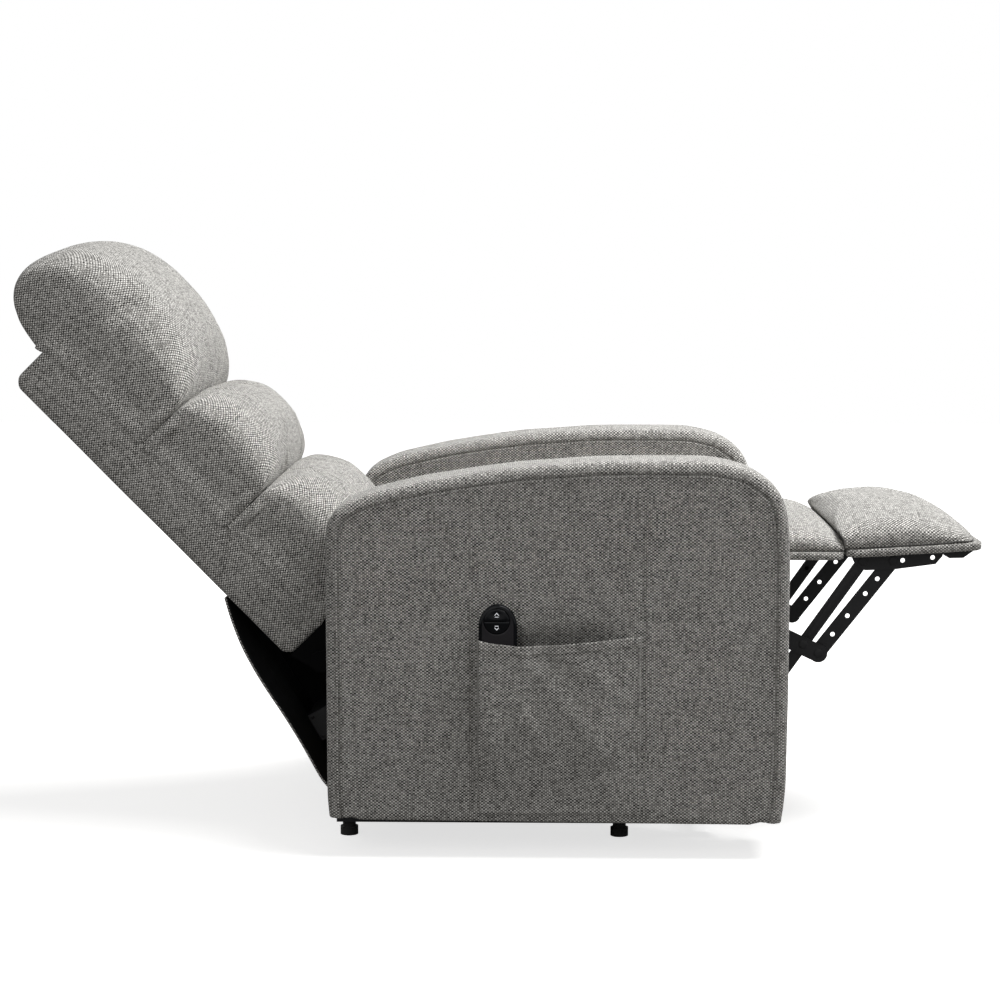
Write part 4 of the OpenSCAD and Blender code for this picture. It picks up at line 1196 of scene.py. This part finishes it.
def makeFlap():
    line = smoothLine(np.array(flap["line"]) / 1000, 0.008, 0.018)
    side = lineNormals(line)
    if side[len(side) // 2, 0] > 0:
        side = -side
    ys = np.linspace(-flap["half"], flap["half"], 64)
    rows = []
    for k, p in enumerate(line):
        t = k / (len(line) - 1)
        slack = math.sin(math.pi * t)
        swag = 0.006 * slack * np.sin(ys * 21 + 1.1 + 1.4 * t) + 0.004 * slack * np.sin(ys * 43 - 2.0 * t)
        swag += slack * 0.003 * noiseAt(np.stack([ys * 0 + p[0], ys, ys * 0 + p[1]], 1), 9.0, 3.3)
        swag = np.clip(swag - 0.002, -0.007, 0.004) * (1 - smoothStep(np.abs(ys), 0.215, 0.25) * 0.75)
        rows.append(np.stack([p[0] + side[k, 0] * swag, ys, p[1] + side[k, 1] * swag], 1))
    piece = sheetBetween("rearFlapCloth", np.array((-0.8, 0, -0.6)), rows, [tweed, lining], flap["cloth"])
    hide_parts("rear_flap")
    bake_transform(piece)
    return piece


sideShadeSheet = {"low": [(-264, 78), (-292, 90), (-316, 138), (-342, 184), (-371, 232), (-409, 292),
                      (-436, 345), (-448, 386)],
              "high": [(-262, 212), (-266, 236), (-276, 262), (-292, 284), (-318, 300), (-352, 308),
                       (-392, 344), (-440, 392)], "columns": 40, "cloth": 0.0012}


def makeSideShadeSheet(name, y, fold):
    # black cloth inside the chair, between the flap, the back's underside and the rear board; its black
    # stands in for the shade there, painted shade
    n, edges = sideShadeSheet["columns"], []
    for side in ("low", "high"):
        line = resample(smoothLine(np.array(sideShadeSheet[side]) / 1000, 0.009, 0.02), 0.009)
        share = np.linspace(0, 1, len(line))
        edges.append(np.stack([np.interp(np.linspace(0, 1, n), share, line[:, k]) for k in (0, 1)], 1))
    low, high = edges
    rows = []
    for k in range(n):
        t = np.linspace(0, 1, 26)
        x = low[k, 0] + (high[k, 0] - low[k, 0]) * t
        z = low[k, 1] + (high[k, 1] - low[k, 1]) * t
        wave = fold * np.sin(k / n * 34 + 1.5 * t) * np.sin(math.pi * np.clip(t * 0.9 + 0.05, 0, 1)) \
            + fold * 0.6 * np.sin(k / n * 71 + t * 3)
        rows.append(np.stack([x, y + wave, z], 1))
    outside = np.array((0, -1.0 if y < 0.1 else 1.0, 0))
    piece = sheetBetween(name, outside, rows, [lining], sideShadeSheet["cloth"])
    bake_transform(piece)
    return piece


creviceShadeSheet = {"line": [(-62, 401), (-84, 398), (-120, 388), (-180, 372), (-240, 362), (-286, 366)],
                 "half": 0.262, "cloth": 0.0012}


def makeCreviceShadeSheet():
    # black cloth in the gap behind the seat cushion, closing it; its black stands in for the shade in the
    # crevice, painted shade
    line = smoothLine(np.array(creviceShadeSheet["line"]) / 1000, 0.009, 0.012)
    ys = np.linspace(-creviceShadeSheet["half"], creviceShadeSheet["half"], 48)
    rows = []
    for k, p in enumerate(line):
        t = k / (len(line) - 1)
        dip = 0.004 * math.sin(math.pi * t) * (np.sin(ys * 50 + t) - 0.5)
        rows.append(np.stack([ys * 0 + p[0], ys, p[1] + dip], 1))
    piece = sheetBetween("creviceShadeSheet", np.array((0, 0, 1.0)), rows, [lining], creviceShadeSheet["cloth"])
    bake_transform(piece)
    return piece


makeFlap()
# dark sheets inside the chair: painted shade for its shaded interior
makeSideShadeSheet("sideShadeSheetRight", -0.0125, 0.0022)
makeSideShadeSheet("sideShadeSheetLeft", 0.2440, 0.0016)
makeCreviceShadeSheet()
print("flap and linings made")


# handset
handsetFacts = {"x": pocket["handsetX"], "top": 0.4203, "width": 0.0615, "dome": 0.036, "length": 0.1583,
                "front": 0.4154, "back": 0.4008, "foot": 0.014, "rim": 0.0042,
                "padX": 0.0021, "padUp": 0.0268, "pad": 0.0203, "well": 0.0026,
                "around": 64, "glandAround": 24, "padProud": 0.0008, "padDome": 0.0014,
                "markUp": 0.0112, "arrow": [(-0.0034, -0.0006), (0.0, 0.0030), (0.0034, -0.0006),
                                            (0.0034, -0.0020), (0.0, 0.0015), (-0.0034, -0.0020)],
                "bar": [(-0.0030, -0.0034), (0.0030, -0.0034), (0.0030, -0.0044), (-0.0030, -0.0044)]}


def handsetOutline():
    f = handsetFacts
    half, low = f["width"] / 2, f["top"] - f["length"]
    points = []
    for k in range(33):
        a = math.pi * k / 32
        points.append((f["x"] + half * math.cos(a), f["top"] - f["dome"] + f["dome"] * math.sin(a)))
    for cx, start in ((f["x"] - half + f["foot"], math.pi), (f["x"] + half - f["foot"], 1.5 * math.pi)):
        for k in range(9):
            a = start + math.pi / 2 * k / 8
            points.append((cx + f["foot"] * math.cos(a), low + f["foot"] + f["foot"] * math.sin(a)))
    return resample(np.array(points), 0.0022, closed=True)


def makeHandset():
    f = handsetFacts
    outline = handsetOutline()
    inward = inwardNormals(outline, (f["x"], f["top"] - f["length"] / 2))
    rim, points = f["rim"], []
    rows = [(rim * 0.6, f["back"]), (rim * 0.22, f["back"] + rim * 0.22), (0.0, f["back"] + rim * 0.7),
            (0.0, f["front"] - rim * 1.3)]
    for k in range(1, 8):
        a = math.pi / 2 * k / 7
        rows.append((rim * 1.3 * (1 - math.cos(a)), f["front"] - rim * 1.3 + rim * 1.3 * math.sin(a)))
    n = len(outline)
    for d, y in rows:
        points += [(p[0], -y, p[1]) for p in outline + inward * d]
    faces = joinRings(len(rows), n) + [tuple(range(n))]
    slots = [0] * len(faces)
    # front face round the well of the button pad
    centre = np.array([f["padX"], f["top"] - f["padUp"]])
    m = f["around"]
    ring = np.array([(math.cos(2 * math.pi * k / m), math.sin(2 * math.pi * k / m)) for k in range(m)])
    border = outline + inward * rows[-1][0]
    reach = f["pad"] + 0.0012
    spread = [(x, z) for x in np.arange(-0.026, 0.031, 0.006) for z in np.arange(0.268, 0.362, 0.006)]
    inner = np.vstack([centre + ring * reach, centre + ring[::2] * (reach + 0.0018), spread])
    flat, tris = fillFlat(border, inner)
    middle = flat[np.array(tris)].mean(1)
    start = len(points)
    points += [(p[0], -f["front"], p[1]) for p in flat]
    for t, c in zip(tris, middle):
        if np.linalg.norm(c - centre) > reach - 0.0001:
            faces.append(tuple(start + k for k in t))
            slots.append(1)
    start = len(points)
    steps = [(reach, 0.0), (reach - 0.0005, 0.0006), (f["pad"] + 0.0003, 0.0009),
             (f["pad"] + 0.0003, f["well"])]
    for r, deep in steps:
        points += [(c[0], -f["front"] + deep, c[1]) for c in centre + ring * r]
    faces += joinRings(len(steps), m, start) + [tuple(start + m * 3 + i for i in range(m))]
    slots += [0] * (m * 3 + 1)
    piece = newPiece("handsetShell", points, faces, [glossPlastic, darkPlastic], slots)
    outwards(piece, 0.00002)
    # gland at the foot, in ribs
    rings = []
    z0 = f["top"] - f["length"]
    profile = [(0.0, 0.002), (0.0044, 0.002), (0.0044, -0.001)]
    for k in range(4):
        z = -0.0025 - k * 0.0024
        profile += [(0.0034, z + 0.0008), (0.0034, z), (0.0041, z - 0.0004), (0.0041, z - 0.0012)]
    profile += [(0.0030, -0.0122), (0.0, -0.0122)]
    turns = [2 * math.pi * k / f["glandAround"] for k in range(f["glandAround"])]
    for r, z in profile:
        rings.append([(f["x"] + r * math.cos(a), -(f["back"] + 0.0075) + r * math.sin(a), z0 + z)
                      for a in turns])
    points = [p for ring in rings for p in ring]
    faces = joinRings(len(rings), f["glandAround"])
    gland = newPiece("handsetGland", points, faces, [rubber])
    outwards(gland, 0.00002)
    for made, slotName in ((piece, "handset_gloss"), (gland, "handset_gloss")):
        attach(made, "handset")
    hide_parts("handset")


def makeButton(name, node, body, up):
    f = handsetFacts
    centre = np.array([f["padX"], f["top"] - f["padUp"]])
    gap, reach, n, m = 0.00025, f["pad"] - 0.0002, 40, 16
    spread = np.linspace(-1, 1, n)
    points, rows = [], []
    for j in range(m):
        t = j / (m - 1)
        z = gap + (reach - gap) * t ** 0.9 * 0.9995
        wide = math.sqrt(max(reach ** 2 - z ** 2, 1e-9))
        rows.append([(s * wide, z) for s in np.sin(spread * math.pi / 2)])
    for row in rows:
        for x, z in row:
            away = math.hypot(x, z) / reach
            edge = min(reach - math.hypot(x, z), (z - gap) * 1.2 + 0.00002)
            y = f["front"] + f["padProud"] + f["padDome"] * (1 - away ** 2)
            y -= 0.0008 * math.exp(-edge / 0.0005)
            # a shallow thumb dish in each half
            y -= 0.0007 * math.exp(-((x / 0.010) ** 2 + ((z - 0.0105) / 0.007) ** 2))
            points.append((centre[0] + x, -y, centre[1] + (z if up else -z)))
    count = len(points)
    rim = gridRim(n, m)
    faces = [(j * n + i, j * n + i + 1, (j + 1) * n + i + 1, (j + 1) * n + i)
             for j in range(m - 1) for i in range(n - 1)]
    for k in rim:
        points.append((points[k][0], -(f["front"] - 0.0015), points[k][2]))
    for k in range(len(rim)):
        a, b = rim[k], rim[(k + 1) % len(rim)]
        faces.append((b, a, count + k, count + (k + 1) % len(rim)))
    faces.append(tuple(count + k for k in range(len(rim))))
    piece = newPiece(name, points, faces, [glossPlastic])
    outwards(piece, 0.00001)
    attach(piece, body)
    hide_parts(node)
    # plain arrow: a chevron with a bar at its foot
    sign = 1 if up else -1
    mid = centre[1] + sign * f["markUp"]
    points, faces = [], []
    for shape in (f["arrow"], f["bar"]):
        for lift in (0.0, 0.0004):
            start = len(points)
            for x, z in shape:
                away = math.hypot(x, f["markUp"]) / reach
                y = f["front"] + f["padProud"] + f["padDome"] * (1 - away ** 2) - 0.00062 + lift
                points.append((centre[0] + x, -y, mid + sign * z))
            k = len(shape)
            faces.append(tuple(range(start, start + k)))
            if lift:
                for i in range(k):
                    a, b = start - k + i, start - k + (i + 1) % k
                    faces.append((a, b, b + k, a + k))
    icon = newPiece(name + "Mark", points, faces, [iconPaint], smooth=False)
    outwards(icon)
    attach(icon, body)


makeHandset()
makeButton("buttonUpCap", "button_up", "button_up", True)
makeButton("buttonDownCap", "button_down", "button_down", False)
print("handset made")


# covered boards under the pads
boards = {"half": 0.2560, "corner": 0.016,
          "footrest": {"span": (0.5795, 0.8030), "low": (0.577, 0.4744, rest["slope"]), "rise": 0.0130,
                       "edge": 0.005},
          "calf": {"span": (0.4005, 0.5755), "low": (0.4, 0.4716, 0.0), "rise": 0.0129, "edge": 0.004}}


def makeBoardCover(name, node, board):
    # span: the board's rear and front; low: a point of its underside and the slope from there
    a, b = board["span"]
    slope, edge = board["low"], board["edge"]
    half, corner = boards["half"], boards["corner"]
    rows = [(0.0, board["rise"]), (0.0, edge + 0.001)]
    for k in range(1, 6):
        t = math.pi / 2 * k / 5
        rows.append((edge * (1 - math.cos(t)), edge * (1 - math.sin(t))))
    rows += [(0.012, 0.0), (0.013, 0.0008), (0.060, 0.0014)]
    loop = []
    for cx, cy, start in ((b - corner, half - corner, 0.0), (a + corner, half - corner, 0.5),
                          (a + corner, -half + corner, 1.0), (b - corner, -half + corner, 1.5)):
        for k in range(9):
            t = math.pi * (start + 0.5 * k / 8)
            loop.append((cx + corner * math.cos(t), cy + corner * math.sin(t)))
    loop = resample(np.array(loop), 0.011, closed=True)
    inward = lineNormals(loop, closed=True)
    n, points = len(loop), []
    for inset, up in rows:
        ring = loop + inward * inset
        swell = 0.0006 * noiseAt(np.stack([ring[:, 0], ring[:, 1], ring[:, 0] * 0], 1), 20.0, 1.0)
        base = slope[1] + (ring[:, 0] - slope[0]) * math.tan(slope[2])
        points += [(p[0], p[1], base[i] + up + (swell[i] if inset else 0)) for i, p in enumerate(ring)]
    # tweed round the edges, lining underneath
    slots = [1 if inset > 0.011 else 0 for inset, up in rows[:-1] for k in range(n)] + [0, 1]
    faces = joinRings(len(rows), n) + [tuple(range(n)), tuple(range((len(rows) - 1) * n, len(rows) * n))]
    piece = newPiece(name, points, faces, [tweed, lining], slots)
    outwards(piece)
    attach(piece, "footrest")
    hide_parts(node)
    return piece


makeBoardCover("footrestBoardCover", "footrest_board", boards["footrest"])
makeBoardCover("calfBoardCover", "calf_board", boards["calf"])
print("boards covered")


# repeated small parts, grown by Geometry Nodes
def startTree(name, inputs):
    tree = bpy.data.node_groups.new(name, "GeometryNodeTree")
    tree.interface.new_socket("Geometry", in_out="INPUT", socket_type="NodeSocketGeometry")
    for label in inputs:
        tree.interface.new_socket(label, in_out="INPUT", socket_type="NodeSocketFloat")
    tree.interface.new_socket("Geometry", in_out="OUTPUT", socket_type="NodeSocketGeometry")
    return tree, addNode(tree, "NodeGroupInput")


def endTree(tree, geometryOut, paint):
    real = addNode(tree, "GeometryNodeRealizeInstances", None, {0: geometryOut})
    shaded = addNode(tree, "GeometryNodeSetShadeSmooth", {2: True}, {0: real.outputs[0]})
    painted = addNode(tree, "GeometryNodeSetMaterial", {"Material": paint}, {0: shaded.outputs[0]})
    addNode(tree, "NodeGroupOutput", None, {0: painted.outputs[0]})
    return tree


def stitchTree(paint):
    # a curve in; small beads of thread along it out
    tree, ins = startTree("seamStitches", ["Pitch", "Length", "Thickness"])
    line = addNode(tree, "GeometryNodeMeshToCurve", None, {0: ins.outputs[0]})
    even = addNode(tree, "GeometryNodeResampleCurve", {"mode": "LENGTH"},
                   {"Curve": line.outputs[0], "Length": ins.outputs["Pitch"]})
    bead = addNode(tree, "GeometryNodeMeshUVSphere", {0: 8, 1: 5, 2: 0.5})
    vary = addNode(tree, "FunctionNodeRandomValue", {"data_type": "FLOAT", 2: 0.9, 3: 1.08, "Seed": 11})
    beadLength = addNode(tree, "ShaderNodeMath", {"operation": "MULTIPLY"},
                         {0: ins.outputs["Length"], 1: vary.outputs[1]})
    size = addNode(tree, "ShaderNodeCombineXYZ", None,
                   {0: beadLength.outputs[0], 1: ins.outputs["Thickness"], 2: ins.outputs["Thickness"]})
    along = addNode(tree, "GeometryNodeInputTangent")
    turn = addNode(tree, "FunctionNodeAlignRotationToVector", {"axis": "X"}, {"Vector": along.outputs[0]})
    laid = addNode(tree, "GeometryNodeInstanceOnPoints", None,
                   {"Points": even.outputs[0], "Instance": bead.outputs[0], "Rotation": turn.outputs[0],
                    "Scale": size.outputs[0]})
    return endTree(tree, laid.outputs[0], paint)


def wireTree(name, paint):
    # a curve in; a round wire of the given radius out
    tree, ins = startTree(name, ["Radius"])
    line = addNode(tree, "GeometryNodeMeshToCurve", None, {0: ins.outputs[0]})
    circle = addNode(tree, "GeometryNodeCurvePrimitiveCircle", {"Resolution": 10},
                     {"Radius": ins.outputs["Radius"]})
    wire = addNode(tree, "GeometryNodeCurveToMesh", {"Fill Caps": True},
                   {"Curve": line.outputs[0], "Profile Curve": circle.outputs[0]})
    return endTree(tree, wire.outputs[0], paint)


def headTree(name, paint, corners, rings):
    # points in; rivet domes (rings > 2) or hexagon heads with a washer out, their axes along Y
    tree, ins = startTree(name, ["Radius", "Height"])
    if corners == 6:
        body = addNode(tree, "GeometryNodeMeshCylinder", {"Vertices": 6, "Radius": 0.86, "Depth": 2.0})
        washer = addNode(tree, "GeometryNodeMeshCylinder", {"Vertices": 20, "Radius": 1.15, "Depth": 0.7})
        head = addNode(tree, "GeometryNodeJoinGeometry")
        tree.links.new(body.outputs[0], head.inputs[0])
        tree.links.new(washer.outputs[0], head.inputs[0])
    else:
        head = addNode(tree, "GeometryNodeMeshUVSphere", {0: corners, 1: rings, 2: 1.0})
    shape = addNode(tree, "GeometryNodeTransform", {"Rotation": (math.pi / 2, 0.0, 0.0)},
                    {0: head.outputs[0]})
    size = addNode(tree, "ShaderNodeCombineXYZ", None,
                   {0: ins.outputs["Radius"], 1: ins.outputs["Height"], 2: ins.outputs["Radius"]})
    laid = addNode(tree, "GeometryNodeInstanceOnPoints", None,
                   {"Points": ins.outputs[0], "Instance": shape.outputs[0], "Scale": size.outputs[0]})
    return endTree(tree, laid.outputs[0], paint)


def grow(name, lines, tree, values, body, closed=False):
    # lines: polylines, or single points, that the tree turns into the real pieces
    points, edges = [], []
    for line in lines:
        start = len(points)
        points += [tuple(map(float, p)) for p in line]
        edges += [(start + k, start + k + 1) for k in range(len(line) - 1)]
        if closed and len(line) > 2:
            edges.append((start + len(line) - 1, start))
    mesh = bpy.data.meshes.new(name)
    mesh.from_pydata(points, edges, [])
    piece = bpy.data.objects.new(name, mesh)
    bpy.context.scene.collection.objects.link(piece)
    step = piece.modifiers.new("grow", "NODES")
    step.node_group = tree
    for socket in tree.interface.items_tree:
        if socket.item_type == "SOCKET" and socket.in_out == "INPUT" and socket.name in values:
            step[socket.identifier] = values[socket.name]
    bakeModifiers(piece)
    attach(piece, body)
    print(name, "grown:", len(piece.data.polygons), "faces")
    return piece


stitches = stitchTree(thread)
springWire = wireTree("springWire", springSteel)
weldBead = wireTree("weldBead", steel)
rivets = headTree("rivetDomes", steel, 16, 8)
bolts = headTree("hexagonBolts", zinc, 6, 0)
sew = {"Pitch": 0.0052, "Length": 0.0040, "Thickness": 0.0010}


def dropOnto(piece, starts, direction, lift=0.0002):
    # where rays from the starts meet a piece
    surface = BVHTree.FromObject(piece, bpy.context.evaluated_depsgraph_get())
    direction = np.broadcast_to(np.array(direction, float), (len(starts), 3))
    found = []
    for p, d in zip(starts, direction):
        hit = surface.ray_cast(Vector(p), Vector(d))[0]
        if hit is not None:
            found.append(np.array(hit) - d * lift)
    return found


def armStitches(piece, sign):
    outline = smoothLine(np.array(arm["outline"]) / 1000, arm["spacing"], 0.011)
    inward = -lineNormals(outline)
    lines = []
    for inset in (arm["band"] - 0.0050, arm["band"] + 0.0050):
        ring = (outline + inward * inset)[1:-1]
        for start, way in ((0.44, -1), (0.24, 1)):
            begin = [(p[0], sign * start, p[1]) for p in ring]
            runs = [begin]
            if sign < 0 and way < 0:
                # none in the groove behind the handset's path, where they would rub
                runs = [[p for p in begin if p[0] < -0.034], [p for p in begin if p[0] > 0.041]]
            lines += [dropOnto(piece, run, (0, sign * way, 0)) for run in runs]
    top = lambda x: np.interp(x, outline[:, 0], outline[:, 1])
    for seam, side in zip(arm["panelSeams"], (-1, 1)):
        for x in ((seam + side * 0.0050,) if sign < 0 else (seam - 0.0050, seam + 0.0050)):
            heights = np.arange(0.080, float(top(x)) - arm["band"] - 0.008, 0.01)
            lines.append(dropOnto(piece, [(x, sign * 0.44, z) for z in heights], (0, -sign, 0)))
    return lines


grow("armRightStitches", armStitches(armRight, -1), stitches, sew, "chair")
grow("armLeftStitches", armStitches(armLeft, 1), stitches, sew, "chair")

xs = np.arange(pocket["rear"] + 0.004, pocket["front"] - 0.004, 0.004)
hemLine = dropOnto(pocketCloth, [(x, -0.44, pocketMouth(x) - 0.0135) for x in xs], (0, 1, 0))
pocketSeams = [hemLine]
for x in (pocket["rear"] + 0.0042, pocket["front"] - 0.0042):
    heights = np.arange(0.082, pocketMouth(x) - 0.004, 0.006)
    pocketSeams.append(dropOnto(pocketCloth, [(x, -0.44, z) for z in heights], (0, 1, 0)))
grow("pocketStitches", pocketSeams, stitches, sew, "chair")

# one seam round the rear of the back, inside its rim
inset = backCover["stitchInset"]
start, end, across = inset, backSheet["length"] - inset, backSheet["half"] - inset
corners = np.array([(start, -across), (end, -across), (end, across), (start, across)])
path = resample(corners, 0.008, closed=True)
behind = ontoBack(np.array([(u, -0.05, y) for u, y in path]))
inwards = ontoBack(np.array([(0.0, 1.0, 0.0)]))[0] - ontoBack(np.array([(0.0, 0.0, 0.0)]))[0]
backSeam = dropOnto(backCoverPiece, behind, inwards)
grow("backStitches", [backSeam], stitches, sew, "backrest", closed=True)


def padSeamLine(lift):
    # a loop round the footrest pad, a given height above its underside
    starts, ways = [], []
    for x in np.arange(0.600, 0.752, 0.006):
        starts.append((x, -0.30, restBase(x) + lift))
        ways.append((0, 1, 0))
    for k in range(1, 9):
        t = math.pi / 2 * k / 9
        x, y = 0.752 + 0.20 * math.sin(t), -0.20 - 0.20 * math.cos(t)
        starts.append((x, y, restBase(x * 0 + 0.79) + lift))
        ways.append((-math.sin(t), math.cos(t), 0))
    for y in np.arange(-0.20, 0.2001, 0.008):
        starts.append((0.86, y, restBase(0.797) + lift))
        ways.append((-1, 0, 0))
    mirrored = [(p[0], -p[1], p[2]) for p in starts[::-1]]
    turned = [(d[0], -d[1], d[2]) for d in ways[::-1]]
    half = len(np.arange(0.600, 0.752, 0.006)) + 8
    starts, ways = starts + mirrored[-half:], ways + turned[-half:]
    return dropOnto(footrestPad, starts, np.array(ways), 0.0003)


# a dark cord in the seam low on the footrest pad, dark as painted shade for the seam's shadow
seamShadowTree = wireTree("seamShadowCord", seamShadowThread)
grow("footrestSeamShadowCord", [padSeamLine(0.0016)], seamShadowTree, {"Radius": 0.0016}, "footrest")
grow("footrestStitches", [padSeamLine(0.0072)], stitches, sew, "footrest")
print("seams sewn")

# springs: zigzag wires between the two seat tubes
spring = {"places": (-0.2, -0.1, 0.0, 0.1, 0.2), "rear": (-0.0785, 0.4022), "front": (0.329, 0.4292),
          "swing": 0.021, "turns": 9.5, "points": 145, "wire": 0.0019}
wires = []
for y in spring["places"]:
    run = np.linspace(0, 1, spring["points"])
    x, z = [spring["rear"][k] + (spring["front"][k] - spring["rear"][k]) * run for k in (0, 1)]
    swing = spring["swing"] * np.sin(run * math.pi * 2 * spring["turns"])
    swing *= smoothStep(np.minimum(run, 1 - run), 0.03, 0.09)
    wires.append(np.stack([x, y + swing, z], 1))
springs = grow("seatSprings", wires, springWire, {"Radius": spring["wire"]}, "chair")
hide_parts("seat_springs")

# weld beads where the base tubes meet the side rails
weld = {"tubes": ((0.342, 0.044), (-0.208, 0.044)), "reach": 0.0155, "side": 0.2232, "bead": 0.0016,
        "square": ((-1, -1), (0, -1), (1, -1), (1, 0), (1, 1), (0, 1), (-1, 1), (-1, 0))}
beads = []
for x, z in weld["tubes"]:
    for y in (-weld["side"], weld["side"]):
        ring = [(x + weld["reach"] * a, y, z + weld["reach"] * b) for a, b in weld["square"]]
        ring = resample(np.array(ring), 0.003, closed=True)
        ring[:, 1] += np.sin(np.arange(len(ring)) * 1.9) * 0.0003
        beads.append(ring)
grow("baseWelds", beads, weldBead, {"Radius": weld["bead"]}, "base", closed=True)

# rivet domes on the linkage, outside the links that carry the pins
domes = {"chair": [((0.3006, 0.3808), 0.1934)],
         "long_links": [((0.514, 0.321), 0.2050)],
         "front_links": [((0.540, 0.306), 0.2050)],
         "footrest": [((0.613, 0.463), 0.2058), ((0.663, 0.464), 0.2058)]}
for body, spots in domes.items():
    grow(body + "Rivets", [[(p[0], s * y, p[1])] for p, y in spots for s in (-1, 1)], rivets,
         {"Radius": 0.0078, "Height": 0.0008}, body)

# hexagon bolts at the lift pivots and the back hinge
boltSpots = {"base": [((0.2267, 0.089), 0.2262), ((0.3015, 0.1138), 0.2262)],
             "chair": [((-0.1385, 0.0896), 0.2045), ((0.0857, 0.1419), 0.2045), ((-0.296, 0.300), 0.2535)]}
for body, spots in boltSpots.items():
    grow(body + "Bolts", [[(p[0], s * y, p[1])] for p, y in spots for s in (-1, 1)], bolts,
         {"Radius": 0.0085, "Height": 0.0023}, body)
boxCorner, boxTilt = (-0.332, 0.181), math.radians(29)
boxSpots = [(boxCorner[0] + a * math.cos(boxTilt) + b * math.sin(boxTilt),
             boxCorner[1] + a * math.sin(boxTilt) - b * math.cos(boxTilt))
            for a, b in ((0.006, 0.006), (0.044, 0.006), (0.006, 0.044), (0.044, 0.044))]
grow("supplyScrews", [[(p[0], s, p[1])] for p in boxSpots for s in (-0.1403, -0.0197)], rivets,
     {"Radius": 0.0032, "Height": 0.0012}, "chair")


def makeRib(name, body, rib):
    # pressed stiffening rib: a long low dome on the outer face of a link, both sides of the chair
    start, end, width = np.array(rib["start"]), np.array(rib["end"]), rib["width"]
    length = np.linalg.norm(end - start)
    along = (end - start) / length
    aside = np.array((-along[1], along[0]))
    ringCount, spokes, points, faces = 5, 48, [], []
    loop = []
    for k in range(spokes):
        t = 2 * math.pi * k / spokes
        shift = length / 2 if math.cos(t) >= 0 else -length / 2
        loop.append((shift + width / 2 * math.cos(t), width / 2 * math.sin(t)))
    for sign in (-1, 1):
        first = len(points)
        for r in range(ringCount + 1):
            share = 1 - r / ringCount
            rise = rib["height"] * (1 - share ** 2.5)
            for a, b in loop:
                core = max(-length / 2, min(length / 2, a))
                p = start + along * (length / 2 + core + (a - core) * share) + aside * b * share
                # the first ring is sunk a little, so that no gap shows at the link's face
                points.append((p[0], sign * (rib["side"] + rise - (0.0004 if r == 0 else 0)), p[1]))
        faces += joinRings(ringCount + 1, spokes, first)
        faces.append(tuple(first + k for k in range(spokes)))
    piece = newPiece(name, points, faces, [steel])
    outwards(piece, 0.00001)
    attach(piece, body)


linkRib = {"start": (0.6000, 0.4443), "end": (0.5256, 0.3376), "width": 0.0115, "side": 0.2009,
           "height": 0.0007}
makeRib("longLinkRibs", "long_links", linkRib)


stop = {"side": [(0.745, 0.4855), (0.799, 0.4888), (0.797, 0.4815), (0.780, 0.4695), (0.757, 0.4690),
                 (0.747, 0.4745)], "inner": 0.2018, "outer": 0.2048}


def makeStops():
    # thin tapered stops under the board's front edge
    points, faces, n = [], [], len(stop["side"])
    for sign in (-1, 1):
        first = len(points)
        for y in (stop["inner"], stop["outer"]):
            points += [(x, sign * y, z) for x, z in stop["side"]]
        faces += [tuple(first + k for k in range(n)), tuple(first + n + k for k in range(n))[::-1]]
        faces += [(first + k, first + (k + 1) % n, first + n + (k + 1) % n, first + n + k) for k in range(n)]
    piece = newPiece("frontStops", points, faces, [steel], smooth=False)
    outwards(piece)
    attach(piece, "footrest")


makeStops()
print("springs, welds, rivets, bolts and ribs made")


# the carried-over nodes get their finishes
def finishNodes():
    sides = ("_left", "_right")
    pairs = [("seat_side_rail", pine), ("floor_glide_front", rubber), ("floor_glide_rear", rubber),
             # the hinge plates and back brackets take the steel darkened as painted shade
             ("hinge_plate", paintedShadeSteel), ("back_bracket", paintedShadeSteel)]
    chosen = {name + side: paint for name, paint in pairs for side in sides}
    chosen.update({"rear_board": pine, "actuator_housing": blackPlastic, "actuator_motor": blackPlastic,
                   "power_supply": blackPlastic, "actuator_rod": rodSteel})
    for name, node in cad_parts.items():
        paint = chosen.get(name, steel)
        if not node.material_slots:
            node.data.materials.append(paint)
        for holder in node.material_slots:
            holder.material = paint


finishNodes()
print("carried-over nodes painted")

newLow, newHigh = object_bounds()
for label, corners in (("cad box", [*cadLow, *cadHigh]), ("visual box", [*newLow, *newHigh])):
    print(label, [round(v, 4) for v in corners])
